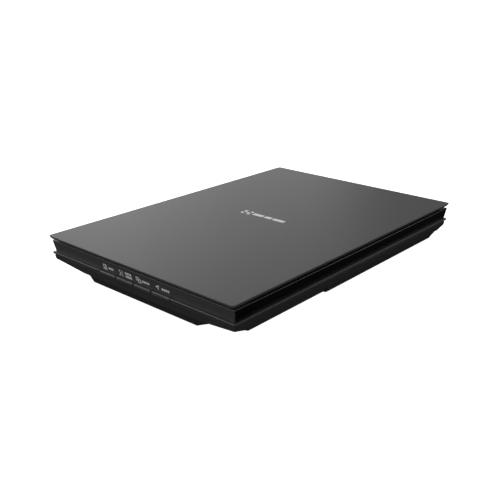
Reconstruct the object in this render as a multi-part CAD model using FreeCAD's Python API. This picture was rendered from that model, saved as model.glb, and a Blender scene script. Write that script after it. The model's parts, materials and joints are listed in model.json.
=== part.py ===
import FreeCAD, Part
import math
import os

from FreeCAD import Vector

# Slim A4 flatbed scanner, in millimetres.
# +X is to the right and -Y to the front, where the buttons are; the lid hinges along +Y.
# +Z is up, and z = 0 is the surface that the rubber feet stand on.
# The origin is the centre of the bottom of the whole scanner's bounding box.

# ---------------------------------------------------------------- overall size
OVERALL_DEPTH = 367.0
LID_WIDTH = 250.0
LID_DEPTH = 358.75
LID_TOP_Z = 42.0

FRONT_Y = -OVERALL_DEPTH / 2
LID_REAR_Y = FRONT_Y + LID_DEPTH
LID_HALF = LID_WIDTH / 2

# ---------------------------------------------------------------- lid
LID_EDGE_Z = 39.2
LID_EDGE_INSET = 1.5
LID_EDGE_ROUND = 0.4
LID_CORNER_ROUND = 3.5
LID_SKIN = 1.6
LID_RIM = 4.0
LID_FRAME_Z = 39.3
PAD_WIDTH = 212.0
PAD_LENGTH = 292.0
PAD_THICKNESS = 3.4
SHEET_THICKNESS = 0.4
BUMPER_RADIUS = 4.0
BUMPER_X = 114.0
BUMPER_FRONT_Y = -172.0
BUMPER_REAR_Y = 163.0
BUMPER_GAP = 0.15

# ---------------------------------------------------------------- base outline
# Each level of the base is a rectangle: half width, front edge, rear edge.
WAIST_TOP = (123.7, -180.2, 172.0)
WAIST_FOOT = (121.6, -177.8, 170.2)
LEDGE = (123.8, -180.5, 172.2)
GROOVE = (121.7, -179.0, 170.6)
WALL_TOP = (122.6, -179.5, 171.0)
TRAY_FOOT = (121.0, -178.4, 169.8)
BELLY_TOP = (118.5, -164.5, 169.5)
BELLY_FOOT = (110.3, -156.5, 165.0)
REAR_BELLY_FOOT = (111.4, -156.5, 165.0)

BASE_TOP_Z = 36.6
LEDGE_Z = 24.5
LIP_Z = 22.6
GROOVE_Z = 20.4
RIM_FLOOR_Z = 18.8
TRAY_Z = 13.2
BELLY_Z = 3.0
REAR_BELLY_Z = 1.6
REAR_BELLY_START_Y = -44.5
STEP_RUN = 4.5

BASE_CORNER_ROUND = 1.2
WAIST_TOP_ROUND = 0.7
LIP_ROUND = 0.8
# An edge that climbs at least this far counts as upright.
UPRIGHT_CLIMB = 1.0

# The belly's corners are cut off on a slant.
BELLY_CUT_TOP_X = 104.0
BELLY_CUT_FOOT_X = 98.0
BELLY_CUT_SLOPE = 0.55
# A chin hangs under the middle of the front; its ends widen towards the rear.
CHIN_FOOT_Y = -171.3
CHIN_FRONT_HALF = 67.2
CHIN_REAR_HALF = 83.0
CHIN_REAR_Y = -150.0
# The tray's underside rises towards each corner.
CORNER_LIFT = 5.4
CORNER_REACH_X = 64.0
CORNER_REACH_Y = 19.0
CORNER_OVERSHOOT = 4.0
CORNER_START = 0.2
TRAY_CUT_X = 64.0
TRAY_CUT_SLOPE = 0.48

WALL = 2.0
SKIN = 1.6
TOP_WALL = 1.8
TOP_PLATE = 1.3
SEAM_Y = -160.1
SEAM_GAP = 0.2

# ---------------------------------------------------------------- window and glass
WINDOW_HALF = 108.5
WINDOW_FRONT_Y = -156.5
WINDOW_REAR_Y = 141.5
GLASS_MARGIN = 5.0
GLASS_THICKNESS = 2.6
TAPE_THICKNESS = 0.2
TAPE_WIDTH = 3.5
STRIP_THICKNESS = 0.2
STRIP_FRONT_Y = 142.2
STRIP_REAR_Y = 146.2

# ---------------------------------------------------------------- hinges
HINGE_X = 85.0
HINGE_Y = 178.5
HINGE_Z = 33.5
KNUCKLE_RADIUS = 5.0
POST_KNUCKLE_RADIUS = 4.9
PIN_RADIUS = 1.5
PIN_CLEARANCE = 0.05
POST_HALF = 6.7
POST_FRONT_Y = 161.5
POST_REAR_Y = 166.5
POST_FOOT_Z = 16.9
POST_TOP_Z = 36.4
POST_BRIDGE_Z = 29.0
WELL_GAP = 0.3
WELL_WALL = 1.5
ARM_HALF = 19.0
ARM_INNER = 9.0
ARM_FRONT_Y = 152.0
ARM_PLATE_REAR_Y = 171.0
ARM_CHEEK_Z = 34.4
ARM_CHEEK_TOP_Z = 38.4
ARM_PLATE_Z = 36.8
RECESS_GAP = 0.5
RECESS_FLOOR = 1.2
HINGE_SCREW_Y = 156.5
HINGE_SCREW_X = 14.0
HINGE_SCREW_HEAD = 2.4
HINGE_SCREW_SHANK = 1.2

# ---------------------------------------------------------------- buttons
BUTTON_COUNT = 4
BUTTON_PITCH = 24.2
BUTTON_GAP = 1.8
BUTTON_CENTRE_X = -0.4
BUTTON_Z = 21.2
BUTTON_TOP_Z = 24.4
BUTTON_DEPTH = 2.4
BUTTON_ROUND = 0.9
BUTTON_SLOT_MARGIN = 0.3
BUTTON_POCKET_Y = -177.2
STEM_GAP = 0.3
STEM_HALF = 2.5
STEM_Z = 22.0
STEM_TOP_Z = 24.0
STEM_END_Y = -175.3
SWITCH_FACE_Y = -173.9
SWITCH_TIP_Y = -174.4
SWITCH_HALF = 2.6
SWITCH_TIP_RADIUS = 1.1
BUTTON_BOARD_FRONT_Y = -172.5
BUTTON_BOARD_REAR_Y = -171.1
BUTTON_BOARD_HALF = 52.0
BUTTON_BOARD_Z = 17.8
BUTTON_BOARD_TOP_Z = 24.2
CARRIER_HALF = 62.0
CARRIER_FRONT_Y = -176.2
CARRIER_REAR_Y = -169.9
CARRIER_Z = 16.5
CARRIER_FLOOR = 1.1
CARRIER_WALL = 1.2

# ---------------------------------------------------------------- scan drive
SHAFT_X = 12.0
SHAFT_Z = 12.5
SHAFT_RADIUS = 3.0
SHAFT_FRONT_Y = -174.0
SHAFT_REAR_Y = 162.0
SHAFT_CLEARANCE = 0.05
SADDLE_LENGTH = 6.0
SADDLE_HALF = 5.5
CLAMP_TOP_Z = 16.4

HOME_Y = 144.0
GEAR_MODULE = 0.6
PRESSURE_ANGLE = math.radians(25.0)
FLANK_THINNING = 0.045
ADDENDUM = 1.0
DEDENDUM = 1.25
FLANK_POINTS = 6
MOTOR_TEETH = 12
WHEEL_TEETH = 30
PINION_TEETH = 14
DRIVE_TEETH = 24
RACK_PITCH_X = -52.0
RACK_FRONT_Y = -168.0
RACK_REAR_Y = 156.0
RACK_BACK_X = -56.5
LOWER_GEAR_Z = 6.0
LOWER_GEAR_TOP_Z = 7.9
UPPER_GEAR_Z = 8.2
UPPER_GEAR_TOP_Z = 9.8
GEAR_PIN_RADIUS = 1.0
GEAR_PIN_CLEARANCE = 0.05
GEAR_PIN_HEAD_RADIUS = 1.6
GEAR_PIN_HEAD_Z = 5.4
GEAR_PIN_HEAD_TOP_Z = 5.8

BRACKET_Z = 10.2
BRACKET_TOP_Z = 11.7
BRACKET_LEFT_X = -54.5
BRACKET_RIGHT_X = -6.0
BRACKET_POST_X = (-51.5, -8.5)
BRACKET_POST_Y = 8.2
BRACKET_POST_RADIUS = 2.2
MOTOR_RADIUS = 9.0
MOTOR_FLANGE_TOP_Z = 12.4
MOTOR_TOP_Z = 19.0
MOTOR_FLANGE_HALF = 9.6
MOTOR_SHAFT_TOP_Z = 16.5
MOTOR_SHAFT_HOLE = 1.6

FRAME_HALF = 113.0
FRAME_Z = 19.4
FRAME_FLOOR_Z = 20.9
FRAME_WALL_TOP_Z = 25.0
FRAME_OUT = 10.5
FRAME_WALL = 1.8
BUSHING_HALF = 6.0
BUSHING_FOOT_Z = 7.8
BUSHING_RADIUS = 4.2
BUSHING_LENGTH = 4.0
SPRING_X = 80.0
SPRING_SEAT_Z = 16.0
SPRING_CUP_RADIUS = 4.2
SPRING_BORE_RADIUS = 3.2
SPRING_HALF = 1.8
SPRING_HALF_WIDTH = 1.5
SPRING_STRIP = 1.6
SPRING_STROKES = 6

CIS_HALF = 114.0
CIS_OUT = 8.0
CIS_Z = 21.6
CIS_TOP_Z = 31.4
COVER_TOP_Z = 31.9
COVER_HALF = 108.0
COVER_OUT = 7.0
SHOE_TOP_Z = 32.2
SHOE_INNER_X = 109.0
SHOE_OUTER_X = 113.0
SHOE_Y = 5.5
SHOE_HALF = 1.5
OPTIC_HALF = 109.0
LENS_FRONT = 0.7
LENS_REAR = 3.3
LENS_Z = 24.8
LENS_TOP_Z = 30.6
GUIDE_FRONT = -5.6
GUIDE_REAR = -1.8
GUIDE_Z = 26.4
GUIDE_TOP_Z = 30.6
GUIDE_END_X = 100.0
LED_START_X = 100.3
LED_END_X = 106.0
SLOT_GAP = 0.2
CIS_BOARD_TOP_Z = 23.0
CIS_BOARD_FRONT = -4.8
CIS_BOARD_REAR = 5.8
CHIP_COUNT = 9
CHIP_PITCH = 23.8
CHIP_HALF = 9.0
CHIP_TOP_Z = 23.5

# ---------------------------------------------------------------- electronics
BOARD_LEFT_X = 24.0
BOARD_RIGHT_X = 70.0
BOARD_FRONT_Y = 96.0
BOARD_REAR_Y = 158.0
BOARD_Z = 6.6
BOARD_TOP_Z = 8.2
BOARD_SCREW_INSET = 4.0
BOARD_FRONT_SCREW_INSET = 12.0
BOARD_BOSS_RADIUS = 2.8
BOARD_SCREW_HEAD = 2.4
BOARD_SCREW_SHANK = 1.2
BOARD_SCREW_HEAD_HEIGHT = 1.4
CHIP_COLUMN_LEFT_X = 36.0
CHIP_COLUMN_RIGHT_X = 54.0
BOARD_CHIP_HEIGHT = 1.4
CONTROLLER_Y = 124.0
CONTROLLER_HALF = 7.0
CONTROLLER_HEIGHT = 1.6
MEMORY_Y = 142.0
MEMORY_HALF_X = 5.5
MEMORY_HALF_Y = 4.0
CONVERTER_Y = 126.0
CONVERTER_HALF_X = 4.0
CONVERTER_HALF_Y = 3.2
DRIVER_Y = 140.0
DRIVER_HALF_X = 3.0
DRIVER_HALF_Y = 4.0
CRYSTAL_Y = 108.0
CRYSTAL_HALF_X = 4.6
CRYSTAL_HALF_Y = 1.8
CRYSTAL_HEIGHT = 3.0
USB_X = 48.0
USB_HALF = 4.0
USB_FRONT_Y = 151.0
USB_REAR_Y = 167.6
USB_TOP_Z = 12.2
USB_WALL = 0.4
USB_GAP = 0.4
USB_TONGUE_SETBACK = 2.0
FLEX_LEFT_X = 28.0
FLEX_RIGHT_X = 40.0
FLEX_THICKNESS = 0.3
FLEX_LOW_Z = 9.0
FLEX_HIGH_Z = 14.6
FLEX_BEND_Y = -11.0
FLEX_END_Y = 136.0
ZIF_DEPTH = 4.0
ZIF_SIDE = 1.5
ZIF_TOP_Z = 10.0
CABLE_LEFT_X = 19.6
CABLE_RIGHT_X = 23.4
CABLE_THICKNESS = 0.3
CABLE_Z = 5.2
CABLE_FRONT_Y = -169.4

# ---------------------------------------------------------------- fasteners and feet
CASE_SCREWS = ((-95.0, -171.0), (95.0, -171.0), (-112.0, 160.5), (112.0, 160.5), (-20.0, 160.8))
PILLAR_RADIUS = 3.6
SCREW_HOLE = 1.35
SCREW_SHANK = 1.3
SCREW_HEAD = 2.6
SCREW_HEAD_HEIGHT = 1.8
SCREW_HEAD_Z = 18.0
SCREW_TIP_Z = 33.0
COUNTERBORE = 2.9
SLOT_HALF = 0.35
SLOT_REACH = 0.55
SLOT_DEPTH = 0.8
FOOT_X = 62.0
FOOT_FRONT_Y = -157.0
FOOT_REAR_Y = 148.0
FOOT_HALF_LENGTH = 10.0
FOOT_RADIUS = 5.5
LABEL_HALF_X = 32.0
LABEL_FRONT_Y = 30.0
LABEL_REAR_Y = 66.0
LABEL_THICKNESS = 0.15

# ---------------------------------------------------------------- worked-out places
PLATE_Z = BASE_TOP_Z - TOP_PLATE
GLASS_TOP_Z = PLATE_Z - TAPE_THICKNESS
GLASS_Z = GLASS_TOP_Z - GLASS_THICKNESS
FLOOR_Z = BELLY_Z + WALL
REAR_FLOOR_Z = REAR_BELLY_Z + WALL
PITCH_RADIUS = {n: GEAR_MODULE * n / 2 for n in (MOTOR_TEETH, WHEEL_TEETH, PINION_TEETH, DRIVE_TEETH)}
DRIVE_X = RACK_PITCH_X + PITCH_RADIUS[DRIVE_TEETH]
REDUCTION_X = DRIVE_X + PITCH_RADIUS[DRIVE_TEETH] + PITCH_RADIUS[PINION_TEETH]
MOTOR_X = REDUCTION_X + PITCH_RADIUS[WHEEL_TEETH] + PITCH_RADIUS[MOTOR_TEETH]
BEYOND = 5.0


# ---------------------------------------------------------------- shape helpers
def box(x0, x1, y0, y1, z0, z1):
    return Part.makeBox(x1 - x0, y1 - y0, z1 - z0, Vector(x0, y0, z0))


def post(x, y, z0, z1, radius):
    return Part.makeCylinder(radius, z1 - z0, Vector(x, y, z0))


def rod_x(x0, x1, y, z, radius):
    return Part.makeCylinder(radius, x1 - x0, Vector(x0, y, z), Vector(1, 0, 0))


def rod_y(x, y0, y1, z, radius):
    return Part.makeCylinder(radius, y1 - y0, Vector(x, y0, z), Vector(0, 1, 0))


def mirrored(shape):
    return shape.mirror(Vector(0, 0, 0), Vector(1, 0, 0))


def screw(x, y, seat_z, head_height, head_radius, shank_end_z, shank_radius):
    """Plain screw with a cross slot; the head lies on the side of the seat away from the shank."""
    away = math.copysign(1, seat_z - shank_end_z)
    face_z = seat_z + away * head_height
    z_head = sorted((seat_z, face_z))
    z_shank = sorted((seat_z, shank_end_z))
    z_slot = sorted((face_z, face_z - away * SLOT_DEPTH))
    reach = SLOT_REACH * head_radius
    solid = post(x, y, *z_head, head_radius).fuse(post(x, y, *z_shank, shank_radius))
    slots = [
        box(x - reach, x + reach, y - SLOT_HALF, y + SLOT_HALF, *z_slot),
        box(x - SLOT_HALF, x + SLOT_HALF, y - reach, y + reach, *z_slot),
    ]
    return solid.cut(slots)


def group(shapes):
    return Part.makeCompound(list(shapes))


def joined(shapes):
    first, *rest = shapes
    return first.fuse(rest).removeSplitter()


def face_of(points):
    return Part.Face(Part.makePolygon(list(points) + [points[0]]))


def solid_of(faces):
    shell = Part.makeShell(faces)
    shell.sewShape()
    return Part.makeSolid(shell)


def frustum(low, z_low, high, z_high):
    """Solid between two outlines with parallel edges, one at each height."""
    bottom = [Vector(x, y, z_low) for x, y in low]
    top = [Vector(x, y, z_high) for x, y in high]
    count = len(bottom)
    faces = [face_of(bottom[::-1]), face_of(top)]
    for i in range(count):
        j = (i + 1) % count
        faces.append(face_of([bottom[i], bottom[j], top[j], top[i]]))
    return solid_of(faces)


def outline(level, inset=0.0):
    half, front, rear = level
    x = half - inset
    return [(-x, front + inset), (x, front + inset), (x, rear - inset), (-x, rear - inset)]


def cut_outline(level, cut_x, slope, inset=0.0):
    """Rectangle whose four corners are cut off on a slant that starts at x = cut_x."""
    half, front, rear = level
    x = half - inset
    front += inset
    rear -= inset
    step = slope * (x - cut_x)
    right = [(cut_x, front), (x, front + step), (x, rear - step), (cut_x, rear)]
    return right + [(-px, py) for px, py in reversed(right)]


def rounded(block, radius, chosen):
    """Block with a fillet on each edge whose bounding box is chosen."""
    return block.makeFillet(radius, [edge for edge in block.Edges if chosen(edge.BoundBox)])


def upright(bounds):
    """True for an edge that climbs from the block's foot to its top."""
    return bounds.ZLength > UPRIGHT_CLIMB


def save(node, shape):
    os.makedirs("parts", exist_ok=True)
    if not shape.isValid():
        print("invalid:", node)
    shape.exportStep(f"parts/{node}.step")


# ---------------------------------------------------------------- lid
def lid_top_panel():
    low = [
        (x - math.copysign(LID_EDGE_INSET, x), y - math.copysign(LID_EDGE_INSET, y))
        for x, y in outline((LID_HALF, FRONT_Y, LID_REAR_Y))
    ]
    block = frustum(low, LID_EDGE_Z, outline((LID_HALF, FRONT_Y, LID_REAR_Y)), LID_TOP_Z)
    block = rounded(block, LID_CORNER_ROUND, upright)
    block = rounded(block, LID_EDGE_ROUND, lambda b: b.ZMin > LID_TOP_Z - LID_EDGE_ROUND)
    (x0, y0), _, (x1, y1), _ = outline((LID_HALF, FRONT_Y, LID_REAR_Y), LID_RIM)
    return block.cut(box(x0, x1, y0, y1, LID_EDGE_Z, LID_TOP_Z - LID_SKIN))


def lid_inner_frame():
    (x0, y0), _, (x1, y1), _ = outline((LID_HALF, FRONT_Y, LID_REAR_Y), LID_RIM)
    return box(x0, x1, y0, y1, LID_FRAME_Z, LID_TOP_Z - LID_SKIN)


def pad_block(z0, z1):
    middle_y = (WINDOW_FRONT_Y + WINDOW_REAR_Y) / 2
    half = PAD_LENGTH / 2
    return box(-PAD_WIDTH / 2, PAD_WIDTH / 2, middle_y - half, middle_y + half, z0, z1)


def document_pad():
    return pad_block(LID_FRAME_Z - PAD_THICKNESS, LID_FRAME_Z)


def document_sheet():
    top = LID_FRAME_Z - PAD_THICKNESS
    return pad_block(top - SHEET_THICKNESS, top)


def lid_bumpers():
    return group(
        post(x, y, BASE_TOP_Z + BUMPER_GAP, LID_FRAME_Z, BUMPER_RADIUS)
        for x in (-BUMPER_X, BUMPER_X)
        for y in (BUMPER_FRONT_Y, BUMPER_REAR_Y)
    )


# ---------------------------------------------------------------- hinges, right side first
def hinge_arm():
    left, right = HINGE_X - ARM_HALF, HINGE_X + ARM_HALF
    pieces = [box(left, right, ARM_FRONT_Y, ARM_PLATE_REAR_Y, ARM_PLATE_Z, LID_FRAME_Z)]
    for inner, outer in ((-ARM_HALF, -ARM_INNER), (ARM_INNER, ARM_HALF)):
        x0, x1 = HINGE_X + inner, HINGE_X + outer
        pieces.append(box(x0, x1, ARM_FRONT_Y, HINGE_Y, ARM_CHEEK_Z, ARM_CHEEK_TOP_Z))
        pieces.append(rod_x(x0, x1, HINGE_Y, HINGE_Z, KNUCKLE_RADIUS))
    arm = joined(pieces)
    arm = arm.cut(rod_x(left, right, HINGE_Y, HINGE_Z, PIN_RADIUS))
    for x, y in hinge_screw_places():
        arm = arm.cut(post(x, y, ARM_CHEEK_Z, ARM_PLATE_Z, HINGE_SCREW_HEAD + WELL_GAP))
        arm = arm.cut(post(x, y, ARM_PLATE_Z, LID_FRAME_Z, HINGE_SCREW_SHANK))
    return arm


def hinge_screw_places():
    return [(HINGE_X - HINGE_SCREW_X, HINGE_SCREW_Y), (HINGE_X + HINGE_SCREW_X, HINGE_SCREW_Y)]


def hinge_screws():
    screws = []
    for x, y in hinge_screw_places():
        screws.append(
            screw(x, y, ARM_PLATE_Z, SCREW_HEAD_HEIGHT, HINGE_SCREW_HEAD, LID_FRAME_Z, HINGE_SCREW_SHANK)
        )
    return group(screws + [mirrored(s) for s in screws])


def hinge_pin():
    return rod_x(HINGE_X - ARM_HALF, HINGE_X + ARM_HALF, HINGE_Y, HINGE_Z, PIN_RADIUS)


def hinge_post():
    x0, x1 = HINGE_X - POST_HALF, HINGE_X + POST_HALF
    tongue = box(x0, x1, POST_FRONT_Y, POST_REAR_Y, POST_FOOT_Z, POST_TOP_Z)
    bridge = box(x0, x1, POST_FRONT_Y, HINGE_Y, POST_BRIDGE_Z, POST_TOP_Z)
    knuckle = rod_x(x0, x1, HINGE_Y, HINGE_Z, POST_KNUCKLE_RADIUS)
    solid = joined([tongue, bridge, knuckle])
    return solid.cut(rod_x(x0, x1, HINGE_Y, HINGE_Z, PIN_RADIUS + PIN_CLEARANCE))


def well(z0, z1, growth):
    """Block round the hinge post, larger than the post's tongue by the given growth."""
    return box(
        HINGE_X - POST_HALF - growth,
        HINGE_X + POST_HALF + growth,
        POST_FRONT_Y - growth,
        POST_REAR_Y + growth,
        z0,
        z1,
    )


def hinge_recess(growth, z0):
    """Pocket in the top of the base that the lid's hinge arms lie in."""
    reach = ARM_HALF + RECESS_GAP + growth
    front = ARM_FRONT_Y - RECESS_GAP - growth
    rear = WAIST_TOP[2] + BEYOND
    return box(HINGE_X - reach, HINGE_X + reach, front, rear, z0, BASE_TOP_Z + BEYOND)


def bridge_notch():
    reach = POST_HALF + WELL_GAP
    front = POST_FRONT_Y - WELL_GAP
    rear = WAIST_TOP[2] + BEYOND
    return box(HINGE_X - reach, HINGE_X + reach, front, rear, POST_BRIDGE_Z - WELL_GAP, BASE_TOP_Z)


# ---------------------------------------------------------------- base shells
def waist_block():
    block = frustum(outline(WAIST_FOOT), LEDGE_Z, outline(WAIST_TOP), BASE_TOP_Z)
    block = rounded(block, BASE_CORNER_ROUND, upright)
    return rounded(block, WAIST_TOP_ROUND, lambda b: b.ZMin > BASE_TOP_Z - WAIST_TOP_ROUND)


def waist_outline(level, inset, rear_inset):
    """Outline of a level of the waist, drawn in by inset, and by rear_inset at the rear."""
    half, front, rear = level
    x = half - inset
    return [(-x, front + inset), (x, front + inset), (x, rear - rear_inset), (-x, rear - rear_inset)]


def waist_core():
    """The waist without its outer skin, which covers the front and the two sides only."""
    low = waist_outline(WAIST_FOOT, SKIN, -BEYOND)
    high = waist_outline(WAIST_TOP, SKIN, -BEYOND)
    return frustum(low, LEDGE_Z, high, BASE_TOP_Z)


def waist_skin():
    return waist_block().cut(waist_core())


def front_bezel():
    return waist_skin().common(box(-LID_HALF, LID_HALF, FRONT_Y, SEAM_Y, LEDGE_Z, BASE_TOP_Z))


def side_trim_right():
    return waist_skin().common(box(0, LID_HALF, SEAM_Y + SEAM_GAP, LID_REAR_Y, LEDGE_Z, BASE_TOP_Z))


def top_case():
    shell = waist_block().common(waist_core())
    inset = SKIN + TOP_WALL
    low = waist_outline(WAIST_FOOT, inset, TOP_WALL)
    high = waist_outline(WAIST_TOP, inset, TOP_WALL)
    cavity = frustum(low, LEDGE_Z, high, PLATE_Z)
    shell = shell.cut(cavity)
    window = box(-WINDOW_HALF, WINDOW_HALF, WINDOW_FRONT_Y, WINDOW_REAR_Y, PLATE_Z, BASE_TOP_Z)
    shell = shell.cut(window)
    additions = [post(x, y, LEDGE_Z, PLATE_Z, PILLAR_RADIUS) for x, y in CASE_SCREWS]
    recess_floor_z = ARM_CHEEK_Z - WELL_GAP
    removals = [post(x, y, LEDGE_Z, SCREW_TIP_Z + WELL_GAP, SCREW_HOLE) for x, y in CASE_SCREWS]
    interior = frustum(outline(WAIST_FOOT, SKIN), LEDGE_Z, outline(WAIST_TOP, SKIN), BASE_TOP_Z)
    for turn in (lambda s: s, mirrored):
        pocket = hinge_recess(TOP_WALL, recess_floor_z - RECESS_FLOOR)
        sleeve = well(LEDGE_Z, PLATE_Z, WELL_GAP + WELL_WALL)
        additions.append(turn(pocket.common(interior)))
        additions.append(turn(sleeve.common(interior)))
        removals.append(turn(hinge_recess(0, recess_floor_z)))
        removals.append(turn(well(LEDGE_Z, BASE_TOP_Z, WELL_GAP)))
        removals.append(turn(bridge_notch()))
    return joined([shell] + additions).cut(removals)


def corner_wedge():
    """Tetrahedron that lifts the tray's underside at the front right corner."""
    x = TRAY_FOOT[0] + CORNER_OVERSHOOT
    y = TRAY_FOOT[1] - CORNER_OVERSHOOT
    z = TRAY_Z - CORNER_START
    corner = Vector(x, y, z)
    left = Vector(x - CORNER_REACH_X, y, z)
    back = Vector(x, y + CORNER_REACH_Y, z)
    peak = Vector(x, y, z + CORNER_LIFT)
    faces = [
        face_of([corner, left, back]),
        face_of([corner, left, peak]),
        face_of([corner, back, peak]),
        face_of([left, back, peak]),
    ]
    return solid_of(faces)


def belly_block(foot, foot_z, inset, top_z):
    low = cut_outline(foot, BELLY_CUT_FOOT_X, BELLY_CUT_SLOPE, inset)
    high = cut_outline(BELLY_TOP, BELLY_CUT_TOP_X, BELLY_CUT_SLOPE, inset)
    return frustum(low, foot_z, high, top_z)


def belly(inset, lift):
    """The belly, or its hollow when there is an inset. Its rear part lies lower, down a short ramp."""
    top_z = TRAY_Z + lift
    start = REAR_BELLY_START_Y + inset
    front_half = box(-LID_HALF, LID_HALF, FRONT_Y, start, 0, LEDGE_Z)
    low_z = REAR_BELLY_Z + lift
    ramp = [(start, LEDGE_Z), (start, BELLY_Z + lift), (start + STEP_RUN, low_z)]
    profile = ramp + [(LID_REAR_Y, low_z), (LID_REAR_Y, LEDGE_Z)]
    rear_half = face_of([Vector(-LID_HALF, y, z) for y, z in profile]).extrude(Vector(LID_WIDTH, 0, 0))
    front = belly_block(BELLY_FOOT, BELLY_Z + lift, inset, top_z).common(front_half)
    rear = belly_block(REAR_BELLY_FOOT, low_z, inset, top_z).common(rear_half)
    return front.fuse(rear)


def chin(inset, lift):
    """The chin, or its hollow when there is an inset. Both run back into the belly's own hollow."""
    front = TRAY_FOOT[1] + inset
    low_z = BELLY_Z + lift
    top_z = TRAY_Z + lift
    profile = [(front, top_z), (CHIN_FOOT_Y + inset, low_z), (CHIN_REAR_Y, low_z), (CHIN_REAR_Y, top_z)]
    side = face_of([Vector(-LID_HALF, y, z) for y, z in profile]).extrude(Vector(LID_WIDTH, 0, 0))
    near, far = CHIN_FRONT_HALF - inset, CHIN_REAR_HALF - inset
    plan = [(-near, front), (near, front), (far, CHIN_REAR_Y), (-far, CHIN_REAR_Y)]
    ends = face_of([Vector(x, y, low_z) for x, y in plan]).extrude(Vector(0, 0, top_z - low_z))
    return side.common(ends)


def lip():
    block = frustum(outline(LEDGE), LIP_Z, outline(LEDGE), LEDGE_Z)
    block = rounded(block, BASE_CORNER_ROUND, upright)
    return rounded(block, LIP_ROUND, lambda b: b.ZMin > LEDGE_Z - LIP_ROUND)


def bottom_outer():
    groove = frustum(outline(GROOVE), GROOVE_Z, outline(GROOVE), LIP_Z)
    tray = frustum(outline(TRAY_FOOT), TRAY_Z, outline(WALL_TOP), GROOVE_Z)
    tray = rounded(tray, BASE_CORNER_ROUND, upright)
    wedge = corner_wedge()
    rear_wedge = wedge.mirror(Vector(0, (TRAY_FOOT[1] + TRAY_FOOT[2]) / 2, 0), Vector(0, 1, 0))
    wedges = [wedge, mirrored(wedge), rear_wedge, mirrored(rear_wedge)]
    return joined([lip(), groove, tray.cut(wedges), belly(0, 0), chin(0, 0)])


def bottom_cavity():
    low = cut_outline(TRAY_FOOT, TRAY_CUT_X, TRAY_CUT_SLOPE, WALL)
    tray = frustum(low, TRAY_Z + WALL, low, GROOVE_Z + WALL)
    inner = waist_outline(WAIST_FOOT, SKIN + TOP_WALL, TOP_WALL)
    rim = frustum(inner, RIM_FLOOR_Z, inner, LEDGE_Z)
    return belly(WALL, WALL).fuse([chin(WALL, WALL), tray, rim])


def saddle(y0):
    return box(SHAFT_X - SADDLE_HALF, SHAFT_X + SADDLE_HALF, y0, y0 + SADDLE_LENGTH, REAR_FLOOR_Z, SHAFT_Z)


def bottom_case():
    inside = bottom_outer()
    shell = inside.cut(bottom_cavity())
    additions = []
    removals = []
    for x, y in CASE_SCREWS:
        additions.append(post(x, y, REAR_BELLY_Z, LEDGE_Z, PILLAR_RADIUS).common(inside))
        removals.append(post(x, y, 0, SCREW_HEAD_Z + SCREW_HEAD_HEIGHT, COUNTERBORE))
        removals.append(post(x, y, 0, LEDGE_Z, SCREW_HOLE))
    for x, y in board_screw_places():
        additions.append(post(x, y, REAR_FLOOR_Z, BOARD_Z, BOARD_BOSS_RADIUS))
        removals.append(post(x, y, REAR_FLOOR_Z, BOARD_Z, BOARD_SCREW_SHANK))
    additions.append(saddle(SHAFT_FRONT_Y).common(inside))
    additions.append(saddle(SHAFT_REAR_Y - SADDLE_LENGTH))
    removals.append(rod_y(SHAFT_X, SHAFT_FRONT_Y, SHAFT_REAR_Y, SHAFT_Z, SHAFT_RADIUS))
    for turn in (lambda s: s, mirrored):
        additions.append(turn(well(TRAY_Z, LEDGE_Z, WELL_GAP + WELL_WALL).common(inside)))
        removals.append(turn(well(POST_FOOT_Z - WELL_GAP, LEDGE_Z, WELL_GAP)))
    slot_half = BUTTON_COUNT * BUTTON_PITCH / 2
    left, right = BUTTON_CENTRE_X - slot_half, BUTTON_CENTRE_X + slot_half
    slot_z = BUTTON_Z - BUTTON_SLOT_MARGIN
    removals.append(box(left, right, FRONT_Y - BEYOND, BUTTON_POCKET_Y, slot_z, LEDGE_Z))
    for index in range(BUTTON_COUNT):
        x = button_x(index)
        hole = STEM_HALF + STEM_GAP
        removals.append(
            box(x - hole, x + hole, BUTTON_POCKET_Y, SWITCH_FACE_Y, STEM_Z - STEM_GAP, STEM_TOP_Z + STEM_GAP)
        )
    removals.append(
        box(
            USB_X - USB_HALF - USB_GAP,
            USB_X + USB_HALF + USB_GAP,
            BELLY_FOOT[2] - BEYOND,
            LEDGE[2],
            BOARD_TOP_Z - USB_GAP,
            USB_TOP_Z + USB_GAP,
        )
    )
    return joined([shell] + additions).cut(removals)


def platen_block(margin, z0, z1):
    return box(
        -WINDOW_HALF - margin,
        WINDOW_HALF + margin,
        WINDOW_FRONT_Y - margin,
        WINDOW_REAR_Y + margin,
        z0,
        z1,
    )


def platen_glass():
    return platen_block(GLASS_MARGIN, GLASS_Z, GLASS_TOP_Z)


def glass_tape():
    outer = platen_block(GLASS_MARGIN, GLASS_TOP_Z, PLATE_Z)
    return outer.cut(platen_block(GLASS_MARGIN - TAPE_WIDTH, GLASS_TOP_Z, PLATE_Z))


def calibration_strip():
    return box(-WINDOW_HALF, WINDOW_HALF, STRIP_FRONT_Y, STRIP_REAR_Y, GLASS_Z - STRIP_THICKNESS, GLASS_Z)


# ---------------------------------------------------------------- buttons
def button_x(index):
    return BUTTON_CENTRE_X + (index - (BUTTON_COUNT - 1) / 2) * BUTTON_PITCH


def button(index):
    x = button_x(index)
    half = (BUTTON_PITCH - BUTTON_GAP) / 2
    bar = box(x - half, x + half, LEDGE[1], LEDGE[1] + BUTTON_DEPTH, BUTTON_Z, BUTTON_TOP_Z)
    front_edges = [
        e
        for e in bar.Edges
        if e.BoundBox.YMax < LEDGE[1] + BUTTON_ROUND and e.BoundBox.XLength > BUTTON_GAP
    ]
    bar = bar.makeFillet(BUTTON_ROUND, front_edges)
    stem = box(x - STEM_HALF, x + STEM_HALF, LEDGE[1] + BUTTON_DEPTH, STEM_END_Y, STEM_Z, STEM_TOP_Z)
    return joined([bar, stem])


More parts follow.
